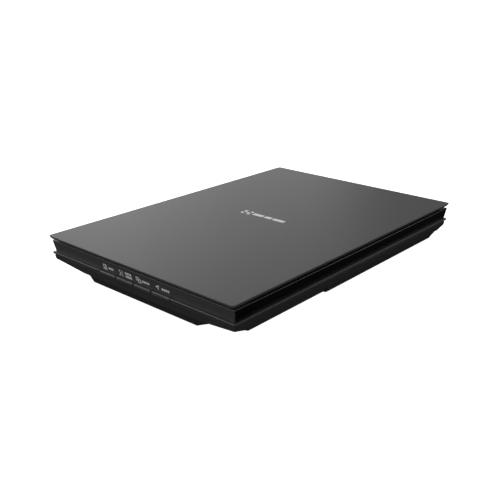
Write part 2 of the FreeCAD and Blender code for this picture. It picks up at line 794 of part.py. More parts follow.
def button_carrier():
    half = CARRIER_HALF
    floor = box(-half, half, CARRIER_FRONT_Y, CARRIER_REAR_Y, CARRIER_Z, CARRIER_Z + CARRIER_FLOOR)
    back_y = BUTTON_BOARD_REAR_Y
    back = box(-half, half, back_y, back_y + CARRIER_WALL, CARRIER_Z, BUTTON_BOARD_TOP_Z)
    ends = []
    for side in (-1, 1):
        x = side * (BUTTON_BOARD_HALF + CARRIER_WALL)
        x0, x1 = x - CARRIER_WALL / 2, x + CARRIER_WALL / 2
        ends.append(box(x0, x1, SWITCH_FACE_Y, back_y, CARRIER_Z, BUTTON_BOARD_TOP_Z))
    return joined([floor, back] + ends)


def button_board():
    return box(
        -BUTTON_BOARD_HALF,
        BUTTON_BOARD_HALF,
        BUTTON_BOARD_FRONT_Y,
        BUTTON_BOARD_REAR_Y,
        BUTTON_BOARD_Z,
        BUTTON_BOARD_TOP_Z,
    )


def button_switches():
    middle_z = (STEM_Z + STEM_TOP_Z) / 2
    low = BUTTON_BOARD_Z + WELL_GAP
    switches = []
    for index in range(BUTTON_COUNT):
        x = button_x(index)
        x0, x1 = x - SWITCH_HALF, x + SWITCH_HALF
        body = box(x0, x1, SWITCH_FACE_Y, BUTTON_BOARD_FRONT_Y, low, BUTTON_BOARD_TOP_Z)
        tip = rod_y(x, SWITCH_TIP_Y, SWITCH_FACE_Y, middle_z, SWITCH_TIP_RADIUS)
        switches.append(body.fuse(tip))
    return group(switches)


def button_cable():
    """Flat lead from the button board down to the floor and back to the main board."""
    x0, x1 = CABLE_LEFT_X, CABLE_RIGHT_X
    back = BUTTON_BOARD_REAR_Y + CARRIER_WALL
    upper_z = CARRIER_Z + 2 * CARRIER_WALL
    upper_top = upper_z + CABLE_THICKNESS
    upper = box(x0, x1, back, CABLE_FRONT_Y, upper_z, upper_top)
    drop = box(x0, x1, CABLE_FRONT_Y, CABLE_FRONT_Y + CABLE_THICKNESS, CABLE_Z, upper_top)
    run = box(x0, x1, CABLE_FRONT_Y, BOARD_FRONT_Y, CABLE_Z, CABLE_Z + CABLE_THICKNESS)
    return joined([upper, drop, run])


# ---------------------------------------------------------------- gears
def involute(base_radius, radius):
    """Angle swept by the involute between its base circle and the given radius."""
    if radius <= base_radius:
        return 0.0
    tangent = math.sqrt((radius / base_radius) ** 2 - 1)
    return tangent - math.atan(tangent)


def gear_outline(teeth, phase):
    """Outline of a spur gear centred on the origin with one tooth centred on the angle phase."""
    pitch = GEAR_MODULE * teeth / 2
    base = pitch * math.cos(PRESSURE_ANGLE)
    root = pitch - DEDENDUM * GEAR_MODULE
    tip = pitch + ADDENDUM * GEAR_MODULE
    half = math.pi / (2 * teeth) - FLANK_THINNING / pitch + involute(base, pitch)
    start = max(base, root)
    radii = [start + (tip - start) * i / (FLANK_POINTS - 1) for i in range(FLANK_POINTS)]
    flank = [(root, half)] + [(r, half - involute(base, r)) for r in radii]
    points = []
    for tooth in range(teeth):
        centre = phase + 2 * math.pi * tooth / teeth
        points += [(r, centre - a) for r, a in flank]
        points += [(r, centre + a) for r, a in reversed(flank)]
    return [(r * math.cos(a), r * math.sin(a)) for r, a in points]


def gear(x, teeth, phase, z0, z1):
    points = [Vector(x + px, HOME_Y + py, z0) for px, py in gear_outline(teeth, phase)]
    return face_of(points).extrude(Vector(0, 0, z1 - z0))


def drive_gear():
    wheel = gear(DRIVE_X, DRIVE_TEETH, math.pi, LOWER_GEAR_Z, LOWER_GEAR_TOP_Z)
    bore_radius = GEAR_PIN_RADIUS + GEAR_PIN_CLEARANCE
    return wheel.cut(post(DRIVE_X, HOME_Y, LOWER_GEAR_Z, LOWER_GEAR_TOP_Z, bore_radius))


def reduction_gear():
    half_tooth = math.pi / PINION_TEETH
    pinion = gear(REDUCTION_X, PINION_TEETH, math.pi + half_tooth, LOWER_GEAR_Z, UPPER_GEAR_Z)
    wheel = gear(REDUCTION_X, WHEEL_TEETH, 0, UPPER_GEAR_Z, UPPER_GEAR_TOP_Z)
    bore = post(REDUCTION_X, HOME_Y, LOWER_GEAR_Z, UPPER_GEAR_TOP_Z, GEAR_PIN_RADIUS + GEAR_PIN_CLEARANCE)
    return pinion.fuse(wheel).cut(bore)


def motor_pinion():
    half_tooth = math.pi / MOTOR_TEETH
    pinion = gear(MOTOR_X, MOTOR_TEETH, math.pi + half_tooth, UPPER_GEAR_Z, UPPER_GEAR_TOP_Z)
    return pinion.fuse(post(MOTOR_X, HOME_Y, UPPER_GEAR_Z, MOTOR_SHAFT_TOP_Z, GEAR_PIN_RADIUS))


def drive_rack():
    """Toothed strip with a foot on the lower floor. At home the drive gear's centre faces a gap."""
    pitch = math.pi * GEAR_MODULE
    tip_x = RACK_PITCH_X + ADDENDUM * GEAR_MODULE
    root_x = RACK_PITCH_X - DEDENDUM * GEAR_MODULE
    slope = math.tan(PRESSURE_ANGLE)
    half_tip = pitch / 4 - FLANK_THINNING - slope * (tip_x - RACK_PITCH_X)
    half_root = pitch / 4 - FLANK_THINNING + slope * (RACK_PITCH_X - root_x)
    first = math.ceil((RACK_FRONT_Y - HOME_Y) / pitch)
    last = math.floor((RACK_REAR_Y - HOME_Y) / pitch)
    points = [(RACK_BACK_X, RACK_FRONT_Y), (root_x, RACK_FRONT_Y)]
    for tooth in range(first, last):
        y = HOME_Y + (tooth + 0.5) * pitch
        points += [(root_x, y - half_root), (tip_x, y - half_tip)]
        points += [(tip_x, y + half_tip), (root_x, y + half_root)]
    points += [(root_x, RACK_REAR_Y), (RACK_BACK_X, RACK_REAR_Y)]
    profile = face_of([Vector(x, y, FLOOR_Z) for x, y in points])
    toothed = profile.extrude(Vector(0, 0, LOWER_GEAR_TOP_Z - FLOOR_Z))
    ramp_end_y = REAR_BELLY_START_Y + WALL + STEP_RUN
    return joined([toothed, box(RACK_BACK_X, root_x, ramp_end_y, RACK_REAR_Y, REAR_FLOOR_Z, FLOOR_Z)])


def gear_pins():
    pins = []
    for x in (DRIVE_X, REDUCTION_X):
        pin = post(x, HOME_Y, GEAR_PIN_HEAD_Z, BRACKET_TOP_Z, GEAR_PIN_RADIUS)
        head = post(x, HOME_Y, GEAR_PIN_HEAD_Z, GEAR_PIN_HEAD_TOP_Z, GEAR_PIN_HEAD_RADIUS)
        pins.append(pin.fuse(head))
    return group(pins)


# ---------------------------------------------------------------- carriage
def bracket_post_places():
    return [(x, HOME_Y + side * BRACKET_POST_Y) for x in BRACKET_POST_X for side in (-1, 1)]


def gear_bracket():
    y0, y1 = HOME_Y - FRAME_OUT, HOME_Y + FRAME_OUT
    plate = box(BRACKET_LEFT_X, BRACKET_RIGHT_X, y0, y1, BRACKET_Z, BRACKET_TOP_Z)
    holes = [post(x, HOME_Y, BRACKET_Z, BRACKET_TOP_Z, GEAR_PIN_RADIUS) for x in (DRIVE_X, REDUCTION_X)]
    holes.append(post(MOTOR_X, HOME_Y, BRACKET_Z, BRACKET_TOP_Z, MOTOR_SHAFT_HOLE))
    holes += [post(x, y, BRACKET_Z, BRACKET_TOP_Z, BOARD_SCREW_SHANK) for x, y in bracket_post_places()]
    return plate.cut(holes)


def bracket_screws():
    screws = []
    for x, y in bracket_post_places():
        shank_end = FRAME_Z - SCREW_HEAD_HEIGHT
        screws.append(
            screw(x, y, BRACKET_Z, BOARD_SCREW_HEAD_HEIGHT, GEAR_PIN_HEAD_RADIUS, shank_end, GEAR_PIN_RADIUS)
        )
    return group(screws)


def motor_housing():
    half = MOTOR_FLANGE_HALF
    y0, y1 = HOME_Y - half, HOME_Y + half
    flange = box(MOTOR_X - half, MOTOR_X + half, y0, y1, BRACKET_TOP_Z, MOTOR_FLANGE_TOP_Z)
    can = post(MOTOR_X, HOME_Y, MOTOR_FLANGE_TOP_Z, MOTOR_TOP_Z, MOTOR_RADIUS)
    bore_radius = GEAR_PIN_RADIUS + GEAR_PIN_CLEARANCE
    bore = post(MOTOR_X, HOME_Y, BRACKET_TOP_Z, MOTOR_SHAFT_TOP_Z + WELL_GAP, bore_radius)
    return joined([flange, can]).cut(bore)


def carriage_frame():
    y0, y1 = HOME_Y - FRAME_OUT, HOME_Y + FRAME_OUT
    tray = box(-FRAME_HALF, FRAME_HALF, y0, y1, FRAME_Z, FRAME_WALL_TOP_Z)
    trough = box(-FRAME_HALF, FRAME_HALF, y0 + FRAME_WALL, y1 - FRAME_WALL, FRAME_FLOOR_Z, FRAME_WALL_TOP_Z)
    additions = [box(SHAFT_X - BUSHING_HALF, SHAFT_X + BUSHING_HALF, y0, y1, BUSHING_FOOT_Z, FRAME_Z)]
    removals = [rod_y(SHAFT_X, y0, y1, SHAFT_Z, BUSHING_RADIUS)]
    for x, y in bracket_post_places():
        additions.append(post(x, y, BRACKET_TOP_Z, FRAME_Z, BRACKET_POST_RADIUS))
        removals.append(post(x, y, BRACKET_TOP_Z, FRAME_Z - SCREW_HEAD_HEIGHT, GEAR_PIN_RADIUS))
    for x in (-SPRING_X, SPRING_X):
        seat = SPRING_SEAT_Z - RECESS_FLOOR
        additions.append(post(x, HOME_Y, seat, FRAME_Z, SPRING_CUP_RADIUS))
        removals.append(post(x, HOME_Y, SPRING_SEAT_Z, FRAME_FLOOR_Z, SPRING_BORE_RADIUS))
    return joined([tray.cut(trough)] + additions).cut(removals)


def shaft_bushings():
    rings = []
    for y in (HOME_Y - FRAME_OUT, HOME_Y + FRAME_OUT - BUSHING_LENGTH):
        outer = rod_y(SHAFT_X, y, y + BUSHING_LENGTH, SHAFT_Z, BUSHING_RADIUS)
        inner = rod_y(SHAFT_X, y, y + BUSHING_LENGTH, SHAFT_Z, SHAFT_RADIUS + SHAFT_CLEARANCE)
        rings.append(outer.cut(inner))
    return group(rings)


def cis_springs():
    """Two springs of steel strip, folded to and fro, that push the sensor bar up to the glass."""
    rise = (CIS_Z - SPRING_SEAT_Z) / SPRING_STROKES
    front_y = HOME_Y - SPRING_HALF_WIDTH
    springs = []
    for x in (-SPRING_X, SPRING_X):
        turns = range(SPRING_STROKES + 1)
        folds = [(x + SPRING_HALF * (-1) ** i, SPRING_SEAT_Z + i * rise) for i in turns]
        left = [Vector(px - SPRING_STRIP / 2, front_y, pz) for px, pz in folds]
        right = [Vector(px + SPRING_STRIP / 2, front_y, pz) for px, pz in folds]
        springs.append(face_of(left + right[::-1]).extrude(Vector(0, 2 * SPRING_HALF_WIDTH, 0)))
    return group(springs)


def across(x0, x1, front, rear, z0, z1):
    """Box at the sensor bar, with front and rear counted from the scan line."""
    return box(x0, x1, HOME_Y + front, HOME_Y + rear, z0, z1)


def cis_housing():
    block = across(-CIS_HALF, CIS_HALF, -CIS_OUT, CIS_OUT, CIS_Z, CIS_TOP_Z)
    half, gap = OPTIC_HALF, SLOT_GAP
    lens_slot = across(-half - gap, half + gap, LENS_FRONT - gap, LENS_REAR + gap, CIS_Z, CIS_TOP_Z)
    light_slot = across(-half, half, GUIDE_FRONT - gap, GUIDE_REAR + gap, GUIDE_Z - gap, CIS_TOP_Z)
    board_slot = across(
        -half - 2 * gap,
        half + 2 * gap,
        CIS_BOARD_FRONT - gap,
        CIS_BOARD_REAR + gap,
        CIS_Z,
        CIS_BOARD_TOP_Z,
    )
    return block.cut([lens_slot, light_slot, board_slot])


def cis_cover_glass():
    return across(-COVER_HALF, COVER_HALF, -COVER_OUT, COVER_OUT, CIS_TOP_Z, COVER_TOP_Z)


def glide_shoes():
    shoes = []
    for side in (-1, 1):
        inner, outer = sorted((side * SHOE_INNER_X, side * SHOE_OUTER_X))
        for y in (-SHOE_Y, SHOE_Y):
            shoes.append(across(inner, outer, y - SHOE_HALF, y + SHOE_HALF, CIS_TOP_Z, SHOE_TOP_Z))
    return group(shoes)


def rod_lens_array():
    return across(-OPTIC_HALF, OPTIC_HALF, LENS_FRONT, LENS_REAR, LENS_Z, LENS_TOP_Z)


def light_guide():
    return across(-OPTIC_HALF, GUIDE_END_X, GUIDE_FRONT, GUIDE_REAR, GUIDE_Z, GUIDE_TOP_Z)


def led_module():
    return across(LED_START_X, LED_END_X, GUIDE_FRONT, GUIDE_REAR, GUIDE_Z, GUIDE_TOP_Z)


def cis_board():
    return across(-OPTIC_HALF, OPTIC_HALF, CIS_BOARD_FRONT, CIS_BOARD_REAR, CIS_Z, CIS_BOARD_TOP_Z)


def sensor_chips():
    middle = (LENS_FRONT + LENS_REAR) / 2
    front, rear = middle - SLOT_GAP, middle + SLOT_GAP
    chips = []
    for index in range(CHIP_COUNT):
        x = (index - (CHIP_COUNT - 1) / 2) * CHIP_PITCH
        chips.append(across(x - CHIP_HALF, x + CHIP_HALF, front, rear, CIS_BOARD_TOP_Z, CHIP_TOP_Z))
    return group(chips)


# ---------------------------------------------------------------- fixed drive parts
def guide_shaft():
    return rod_y(SHAFT_X, SHAFT_FRONT_Y, SHAFT_REAR_Y, SHAFT_Z, SHAFT_RADIUS)


def shaft_clamps():
    clamps = []
    for y0 in (SHAFT_FRONT_Y, SHAFT_REAR_Y - SADDLE_LENGTH):
        y1 = y0 + SADDLE_LENGTH
        block = box(SHAFT_X - SADDLE_HALF, SHAFT_X + SADDLE_HALF, y0, y1, SHAFT_Z, CLAMP_TOP_Z)
        clamps.append(block.cut(rod_y(SHAFT_X, y0, y1, SHAFT_Z, SHAFT_RADIUS)))
    return group(clamps)


# ---------------------------------------------------------------- electronics
def board_screw_places():
    inset = BOARD_SCREW_INSET
    return [
        (x, y)
        for x in (BOARD_LEFT_X + inset, BOARD_RIGHT_X - inset)
        for y in (BOARD_FRONT_Y + BOARD_FRONT_SCREW_INSET, BOARD_REAR_Y - inset)
    ]


def main_board():
    board = box(BOARD_LEFT_X, BOARD_RIGHT_X, BOARD_FRONT_Y, BOARD_REAR_Y, BOARD_Z, BOARD_TOP_Z)
    return board.cut([post(x, y, BOARD_Z, BOARD_TOP_Z, BOARD_SCREW_SHANK) for x, y in board_screw_places()])


def board_screws():
    screws = []
    for x, y in board_screw_places():
        shank_end = REAR_FLOOR_Z + WELL_GAP
        screws.append(
            screw(x, y, BOARD_TOP_Z, BOARD_SCREW_HEAD_HEIGHT, BOARD_SCREW_HEAD, shank_end, BOARD_SCREW_SHANK)
        )
    return group(screws)


def chip(x, y, half_x, half_y, height):
    return box(x - half_x, x + half_x, y - half_y, y + half_y, BOARD_TOP_Z, BOARD_TOP_Z + height)


def board_chips():
    left, right, height = CHIP_COLUMN_LEFT_X, CHIP_COLUMN_RIGHT_X, BOARD_CHIP_HEIGHT
    controller = chip(right, CONTROLLER_Y, CONTROLLER_HALF, CONTROLLER_HALF, CONTROLLER_HEIGHT)
    memory = chip(right, MEMORY_Y, MEMORY_HALF_X, MEMORY_HALF_Y, height)
    converter = chip(left, CONVERTER_Y, CONVERTER_HALF_X, CONVERTER_HALF_Y, height)
    driver = chip(left, DRIVER_Y, DRIVER_HALF_X, DRIVER_HALF_Y, height)
    crystal = chip(right, CRYSTAL_Y, CRYSTAL_HALF_X, CRYSTAL_HALF_Y, CRYSTAL_HEIGHT)
    return group([controller, memory, converter, driver, crystal])


def flex_connector():
    x0, x1 = FLEX_LEFT_X - ZIF_SIDE, FLEX_RIGHT_X + ZIF_SIDE
    block = box(x0, x1, BOARD_FRONT_Y, BOARD_FRONT_Y + ZIF_DEPTH, BOARD_TOP_Z, ZIF_TOP_Z)
    return block.cut(flex_low_run())


def flex_low_run():
    return box(
        FLEX_LEFT_X,
        FLEX_RIGHT_X,
        FLEX_BEND_Y,
        BOARD_FRONT_Y + ZIF_DEPTH / 2,
        FLEX_LOW_Z,
        FLEX_LOW_Z + FLEX_THICKNESS,
    )


def flat_flex_cable():
    """Ribbon that runs forward from the board, turns over and runs back up to the carriage."""
    high_top = FLEX_HIGH_Z + FLEX_THICKNESS
    middle_z = (FLEX_LOW_Z + high_top) / 2
    outer = (high_top - FLEX_LOW_Z) / 2
    x0, x1 = FLEX_LEFT_X, FLEX_RIGHT_X
    ring = rod_x(x0, x1, FLEX_BEND_Y, middle_z, outer)
    ring = ring.cut(rod_x(x0, x1, FLEX_BEND_Y, middle_z, outer - FLEX_THICKNESS))
    ring = ring.cut(box(x0, x1, FLEX_BEND_Y, FLEX_BEND_Y + 2 * outer, FLEX_LOW_Z, high_top))
    high = box(x0, x1, FLEX_BEND_Y, FLEX_END_Y, FLEX_HIGH_Z, high_top)
    rise = box(x0, x1, FLEX_END_Y - FLEX_THICKNESS, FLEX_END_Y, high_top, FRAME_Z)
    return joined([flex_low_run(), ring, high, rise])


def usb_socket():
    shell = box(USB_X - USB_HALF, USB_X + USB_HALF, USB_FRONT_Y, USB_REAR_Y, BOARD_TOP_Z, USB_TOP_Z)
    mouth = box(
        USB_X - USB_HALF + USB_WALL,
        USB_X + USB_HALF - USB_WALL,
        USB_FRONT_Y + BEYOND,
        USB_REAR_Y,
        BOARD_TOP_Z + USB_WALL,
        USB_TOP_Z - USB_WALL,
    )
    tongue_z = (BOARD_TOP_Z + USB_TOP_Z) / 2
    tongue = box(
        USB_X - USB_HALF / 2,
        USB_X + USB_HALF / 2,
        USB_FRONT_Y + BEYOND,
        USB_REAR_Y - USB_TONGUE_SETBACK,
        tongue_z - USB_WALL,
        tongue_z + USB_WALL,
    )
    return joined([shell.cut(mouth), tongue])


# ---------------------------------------------------------------- fasteners, feet and label
def case_screws():
    seat_z = SCREW_HEAD_Z + SCREW_HEAD_HEIGHT
    return group(
        screw(x, y, seat_z, SCREW_HEAD_HEIGHT, SCREW_HEAD, SCREW_TIP_Z, SCREW_SHANK) for x, y in CASE_SCREWS
    )


def foot(x, y, top):
    """Oblong rubber pad, rounded at both ends."""
    straight = FOOT_HALF_LENGTH - FOOT_RADIUS
    middle = box(x - straight, x + straight, y - FOOT_RADIUS, y + FOOT_RADIUS, 0, top)
    ends = [post(x + side * straight, y, 0, top, FOOT_RADIUS) for side in (-1, 1)]
    return joined([middle] + ends)


def rubber_feet():
    return group(
        foot(x, y, top)
        for x in (-FOOT_X, FOOT_X)
        for y, top in ((FOOT_FRONT_Y, BELLY_Z), (FOOT_REAR_Y, REAR_BELLY_Z))
    )


def rating_label():
    return box(
        -LABEL_HALF_X, LABEL_HALF_X, LABEL_FRONT_Y, LABEL_REAR_Y, REAR_BELLY_Z - LABEL_THICKNESS, REAR_BELLY_Z
    )


# ---------------------------------------------------------------- the whole scanner
def all_parts():
    arm = hinge_arm()
    pin = hinge_pin()
    lifter = hinge_post()
    trim = side_trim_right()
    nodes = {
        "lid_top_panel": lid_top_panel(),
        "lid_inner_frame": lid_inner_frame(),
        "document_pad": document_pad(),
        "document_sheet": document_sheet(),
        "lid_bumpers": lid_bumpers(),
        "hinge_arm_right": arm,
        "hinge_arm_left": mirrored(arm),
        "hinge_pin_right": pin,
        "hinge_pin_left": mirrored(pin),
        "hinge_screws": hinge_screws(),
        "hinge_post_right": lifter,
        "hinge_post_left": mirrored(lifter),
        "bottom_case": bottom_case(),
        "top_case": top_case(),
        "front_bezel": front_bezel(),
        "side_trim_right": trim,
        "side_trim_left": mirrored(trim),
        "platen_glass": platen_glass(),
        "glass_tape": glass_tape(),
        "calibration_strip": calibration_strip(),
        "button_carrier": button_carrier(),
        "button_board": button_board(),
        "button_switches": button_switches(),
        "button_cable": button_cable(),
        "guide_shaft": guide_shaft(),
        "shaft_clamps": shaft_clamps(),
        "drive_rack": drive_rack(),
        "drive_gear": drive_gear(),
        "reduction_gear": reduction_gear(),
        "motor_pinion": motor_pinion(),
        "gear_pins": gear_pins(),
        "gear_bracket": gear_bracket(),
        "bracket_screws": bracket_screws(),
        "motor_housing": motor_housing(),
        "carriage_frame": carriage_frame(),
        "shaft_bushings": shaft_bushings(),
        "cis_springs": cis_springs(),
        "cis_housing": cis_housing(),
        "cis_cover_glass": cis_cover_glass(),
        "glide_shoes": glide_shoes(),
        "rod_lens_array": rod_lens_array(),
        "light_guide": light_guide(),
        "led_module": led_module(),
        "cis_board": cis_board(),
        "sensor_chips": sensor_chips(),
        "main_board": main_board(),
        "board_screws": board_screws(),
        "board_chips": board_chips(),
        "flex_connector": flex_connector(),
        "flat_flex_cable": flat_flex_cable(),
        "usb_socket": usb_socket(),
        "case_screws": case_screws(),
        "rubber_feet": rubber_feet(),
        "rating_label": rating_label(),
    }
    for index, name in enumerate(("pdf_button", "auto_button", "copy_button", "mail_button")):
        nodes[name] = button(index)
    return nodes


for node, shape in all_parts().items():
    save(node, shape)
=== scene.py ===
"""Looks of a slim A4 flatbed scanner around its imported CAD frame. Units are metres."""
import json
import math

import bmesh
import bpy
from mathutils import Matrix, Vector
from mathutils.bvhtree import BVHTree


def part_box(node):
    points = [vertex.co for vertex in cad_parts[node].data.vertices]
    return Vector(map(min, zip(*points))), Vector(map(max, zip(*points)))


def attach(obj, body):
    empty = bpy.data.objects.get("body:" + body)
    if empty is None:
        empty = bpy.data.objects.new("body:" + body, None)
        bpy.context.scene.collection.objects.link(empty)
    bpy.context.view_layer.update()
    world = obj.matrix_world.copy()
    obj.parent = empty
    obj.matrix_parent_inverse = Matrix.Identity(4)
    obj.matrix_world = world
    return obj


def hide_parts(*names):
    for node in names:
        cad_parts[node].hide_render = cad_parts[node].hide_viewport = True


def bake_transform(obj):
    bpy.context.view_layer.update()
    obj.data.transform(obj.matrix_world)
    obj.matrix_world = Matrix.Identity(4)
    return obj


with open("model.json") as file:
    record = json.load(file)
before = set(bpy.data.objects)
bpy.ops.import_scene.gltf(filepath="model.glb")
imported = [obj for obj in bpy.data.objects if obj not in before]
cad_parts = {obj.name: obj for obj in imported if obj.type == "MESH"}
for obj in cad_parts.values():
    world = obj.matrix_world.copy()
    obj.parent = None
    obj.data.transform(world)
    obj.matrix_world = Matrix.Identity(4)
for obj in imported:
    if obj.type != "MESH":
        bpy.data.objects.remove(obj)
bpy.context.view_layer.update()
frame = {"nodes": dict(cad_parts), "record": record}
nodes = frame["nodes"]

MM = 0.001

# ---------------------------------------------------------------- camera
CAMERA_AZIMUTH = math.radians(40.821)
CAMERA_ELEVATION = math.radians(19.844)
CAMERA_DISTANCE = 0.764
CAMERA_LENS = 51.558
CAMERA_SENSOR = 36.0
CAMERA_SHIFT = (-0.024865, -0.026845)
CAMERA_CLIP_START = 0.01

lid_low, lid_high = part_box("lid_top_panel")
lid_centre = (lid_low + lid_high) / 2
scanner_height = lid_high.z


def add_camera():
    flat = math.cos(CAMERA_ELEVATION)
    back = Vector((
        math.sin(CAMERA_AZIMUTH) * flat,
        -math.cos(CAMERA_AZIMUTH) * flat,
        math.sin(CAMERA_ELEVATION),
    ))
    target = Vector((lid_centre.x, lid_centre.y, scanner_height / 2))
    data = bpy.data.cameras.new("camera")
    data.lens = CAMERA_LENS
    data.sensor_width = CAMERA_SENSOR
    data.shift_x, data.shift_y = CAMERA_SHIFT
    data.clip_start = CAMERA_CLIP_START
    camera = bpy.data.objects.new("camera", data)
    camera.location = target + back * CAMERA_DISTANCE
    camera.rotation_euler = (-back).to_track_quat("-Z", "Y").to_euler()
    bpy.context.scene.collection.objects.link(camera)
    bpy.context.scene.camera = camera


# ---------------------------------------------------------------- materials
def new_material(name):
    made = bpy.data.materials.new(name)
    made.use_nodes = True
    tree = made.node_tree
    shader = tree.nodes["Principled BSDF"]
    return made, tree, shader


def link(tree, out_socket, in_socket):
    tree.links.new(out_socket, in_socket)


def object_space(tree, scale=(1, 1, 1)):
    coordinates = tree.nodes.new("ShaderNodeTexCoord")
    mapping = tree.nodes.new("ShaderNodeMapping")
    mapping.inputs["Scale"].default_value = scale
    link(tree, coordinates.outputs["Object"], mapping.inputs["Vector"])
    return mapping.outputs["Vector"]


def noise(tree, where, scale, detail=2.0, roughness=0.5):
    texture = tree.nodes.new("ShaderNodeTexNoise")
    texture.inputs["Scale"].default_value = scale
    texture.inputs["Detail"].default_value = detail
    texture.inputs["Roughness"].default_value = roughness
    link(tree, where, texture.inputs["Vector"])
    return texture.outputs["Fac"]


def spread(tree, value, low, high):
    """Maps a 0 to 1 value onto low to high."""
    node = tree.nodes.new("ShaderNodeMapRange")
    node.inputs["To Min"].default_value = low
    node.inputs["To Max"].default_value = high
    link(tree, value, node.inputs["Value"])
    return node.outputs["Result"]


def two_tone(tree, value, dark, light):
    ramp = tree.nodes.new("ShaderNodeValToRGB")
    ramp.color_ramp.elements[0].color = (*dark, 1)
    ramp.color_ramp.elements[1].color = (*light, 1)
    link(tree, value, ramp.inputs["Fac"])
    return ramp.outputs["Color"]


def bump(tree, height, strength, distance):
    node = tree.nodes.new("ShaderNodeBump")
    node.inputs["Strength"].default_value = strength
    node.inputs["Distance"].default_value = distance
    link(tree, height, node.inputs["Height"])
    return node.outputs["Normal"]


def shade(colour, factor):
    return tuple(c * factor for c in colour)


def grained(name, colour, roughness, grain=0.0004, depth=0.00002, variation=0.06, specular=0.5):
    """Moulded or painted surface with a fine grain of the given size."""
    made, tree, shader = new_material(name)
    where = object_space(tree)
    fine = noise(tree, where, 1 / grain, 3.0, 0.6)
    broad = noise(tree, where, 22.0, 3.0, 0.5)
    tone = two_tone(tree, broad, shade(colour, 1 - variation), shade(colour, 1 + variation))
    link(tree, tone, shader.inputs["Base Color"])
    link(tree, spread(tree, fine, roughness - 0.06, roughness + 0.06), shader.inputs["Roughness"])
    link(tree, bump(tree, fine, 0.35, depth), shader.inputs["Normal"])
    shader.inputs["Specular IOR Level"].default_value = specular
    return made


def satin_front_shaded_sides(name, front, side, roughness, side_roughness, specular=0.5):
    """Satin band on the faces that look forward; on the returns at the sides the colour is painted
    near-black, which is painted shade, and the finish is glossier.
    """
    made = grained(name, front, roughness, 0.0003, 0.000008, 0.05, specular)
    tree = made.node_tree
    shader = tree.nodes["Principled BSDF"]
    coordinates = tree.nodes.new("ShaderNodeTexCoord")
    split = tree.nodes.new("ShaderNodeSeparateXYZ")
    link(tree, coordinates.outputs["Normal"], split.inputs["Vector"])
    sideways = tree.nodes.new("ShaderNodeMath")
    sideways.operation = "ABSOLUTE"
    link(tree, split.outputs["X"], sideways.inputs[0])
    # faces turned sideways take the near-black side colour: painted shade
    turn = tree.nodes.new("ShaderNodeMapRange")
    turn.inputs["From Min"].default_value = 0.6
    turn.inputs["From Max"].default_value = 0.85
    link(tree, sideways.outputs["Value"], turn.inputs["Value"])
    colour = tree.nodes.new("ShaderNodeMix")
    colour.data_type = "RGBA"
    colour.inputs["B"].default_value = (*side, 1)
    link(tree, turn.outputs["Result"], colour.inputs["Factor"])
    link(tree, shader.inputs["Base Color"].links[0].from_socket, colour.inputs["A"])
    link(tree, colour.outputs["Result"], shader.inputs["Base Color"])
    gloss = tree.nodes.new("ShaderNodeMix")
    gloss.inputs["B"].default_value = side_roughness
    link(tree, turn.outputs["Result"], gloss.inputs["Factor"])
    link(tree, shader.inputs["Roughness"].links[0].from_socket, gloss.inputs["A"])
    link(tree, gloss.outputs["Result"], shader.inputs["Roughness"])
    return made


def glossy(name, colour, roughness, specular=0.5):
    """Polished moulding with faint waviness and handling haze."""
    made, tree, shader = new_material(name)
    where = object_space(tree)
    haze = noise(tree, where, 60.0, 4.0, 0.6)
    ripple = noise(tree, where, 35.0, 1.0, 0.4)
    tone = two_tone(tree, haze, shade(colour, 0.85), shade(colour, 1.15))
    link(tree, tone, shader.inputs["Base Color"])
    link(tree, spread(tree, haze, roughness * 0.8, roughness * 1.3), shader.inputs["Roughness"])
    link(tree, bump(tree, ripple, 0.05, 0.0002), shader.inputs["Normal"])
    shader.inputs["Specular IOR Level"].default_value = specular
    return made


def metal(name, colour, roughness, stretch=(1, 1, 1), scale=900.0):
    """Machined or plated metal with fine marks drawn out along one axis."""
    made, tree, shader = new_material(name)
    where = object_space(tree, stretch)
    marks = noise(tree, where, scale, 3.0, 0.6)
    tone = two_tone(tree, marks, shade(colour, 0.88), shade(colour, 1.06))
    link(tree, tone, shader.inputs["Base Color"])
    link(tree, spread(tree, marks, roughness * 0.75, roughness * 1.35), shader.inputs["Roughness"])
    link(tree, bump(tree, marks, 0.2, 0.00001), shader.inputs["Normal"])
    shader.inputs["Metallic"].default_value = 1.0
    return made


def glass(name, tint, roughness, ior=1.52):
    """Clear sheet with a faint film of dust and wiping marks."""
    made, tree, shader = new_material(name)
    where = object_space(tree, (1.0, 0.35, 1.0))
    film = noise(tree, where, 40.0, 5.0, 0.65)
    link(tree, spread(tree, film, roughness, roughness + 0.02), shader.inputs["Roughness"])
    tone = two_tone(tree, film, shade(tint, 0.985), tint)
    link(tree, tone, shader.inputs["Base Color"])
    shader.inputs["Transmission Weight"].default_value = 1.0
    shader.inputs["IOR"].default_value = ior
    return made


def circuit_board(name):
    """Green solder mask over a maze of copper tracks and plated holes."""
    made, tree, shader = new_material(name)
    where = object_space(tree, (1.0, 1.0, 0.0))
    bricks = tree.nodes.new("ShaderNodeTexBrick")
    bricks.inputs["Scale"].default_value = 260.0
    bricks.inputs["Mortar Size"].default_value = 0.06
    bricks.inputs["Mortar Smooth"].default_value = 0.2
    bricks.inputs["Color1"].default_value = (0.010, 0.085, 0.030, 1)
    bricks.inputs["Color2"].default_value = (0.013, 0.110, 0.038, 1)
    bricks.inputs["Mortar"].default_value = (0.030, 0.190, 0.070, 1)
    link(tree, where, bricks.inputs["Vector"])
    link(tree, bricks.outputs["Color"], shader.inputs["Base Color"])
    link(tree, bump(tree, bricks.outputs["Fac"], 0.4, 0.00003), shader.inputs["Normal"])
    patches = noise(tree, where, 120.0, 2.0, 0.5)
    link(tree, spread(tree, patches, 0.22, 0.38), shader.inputs["Roughness"])
    return made


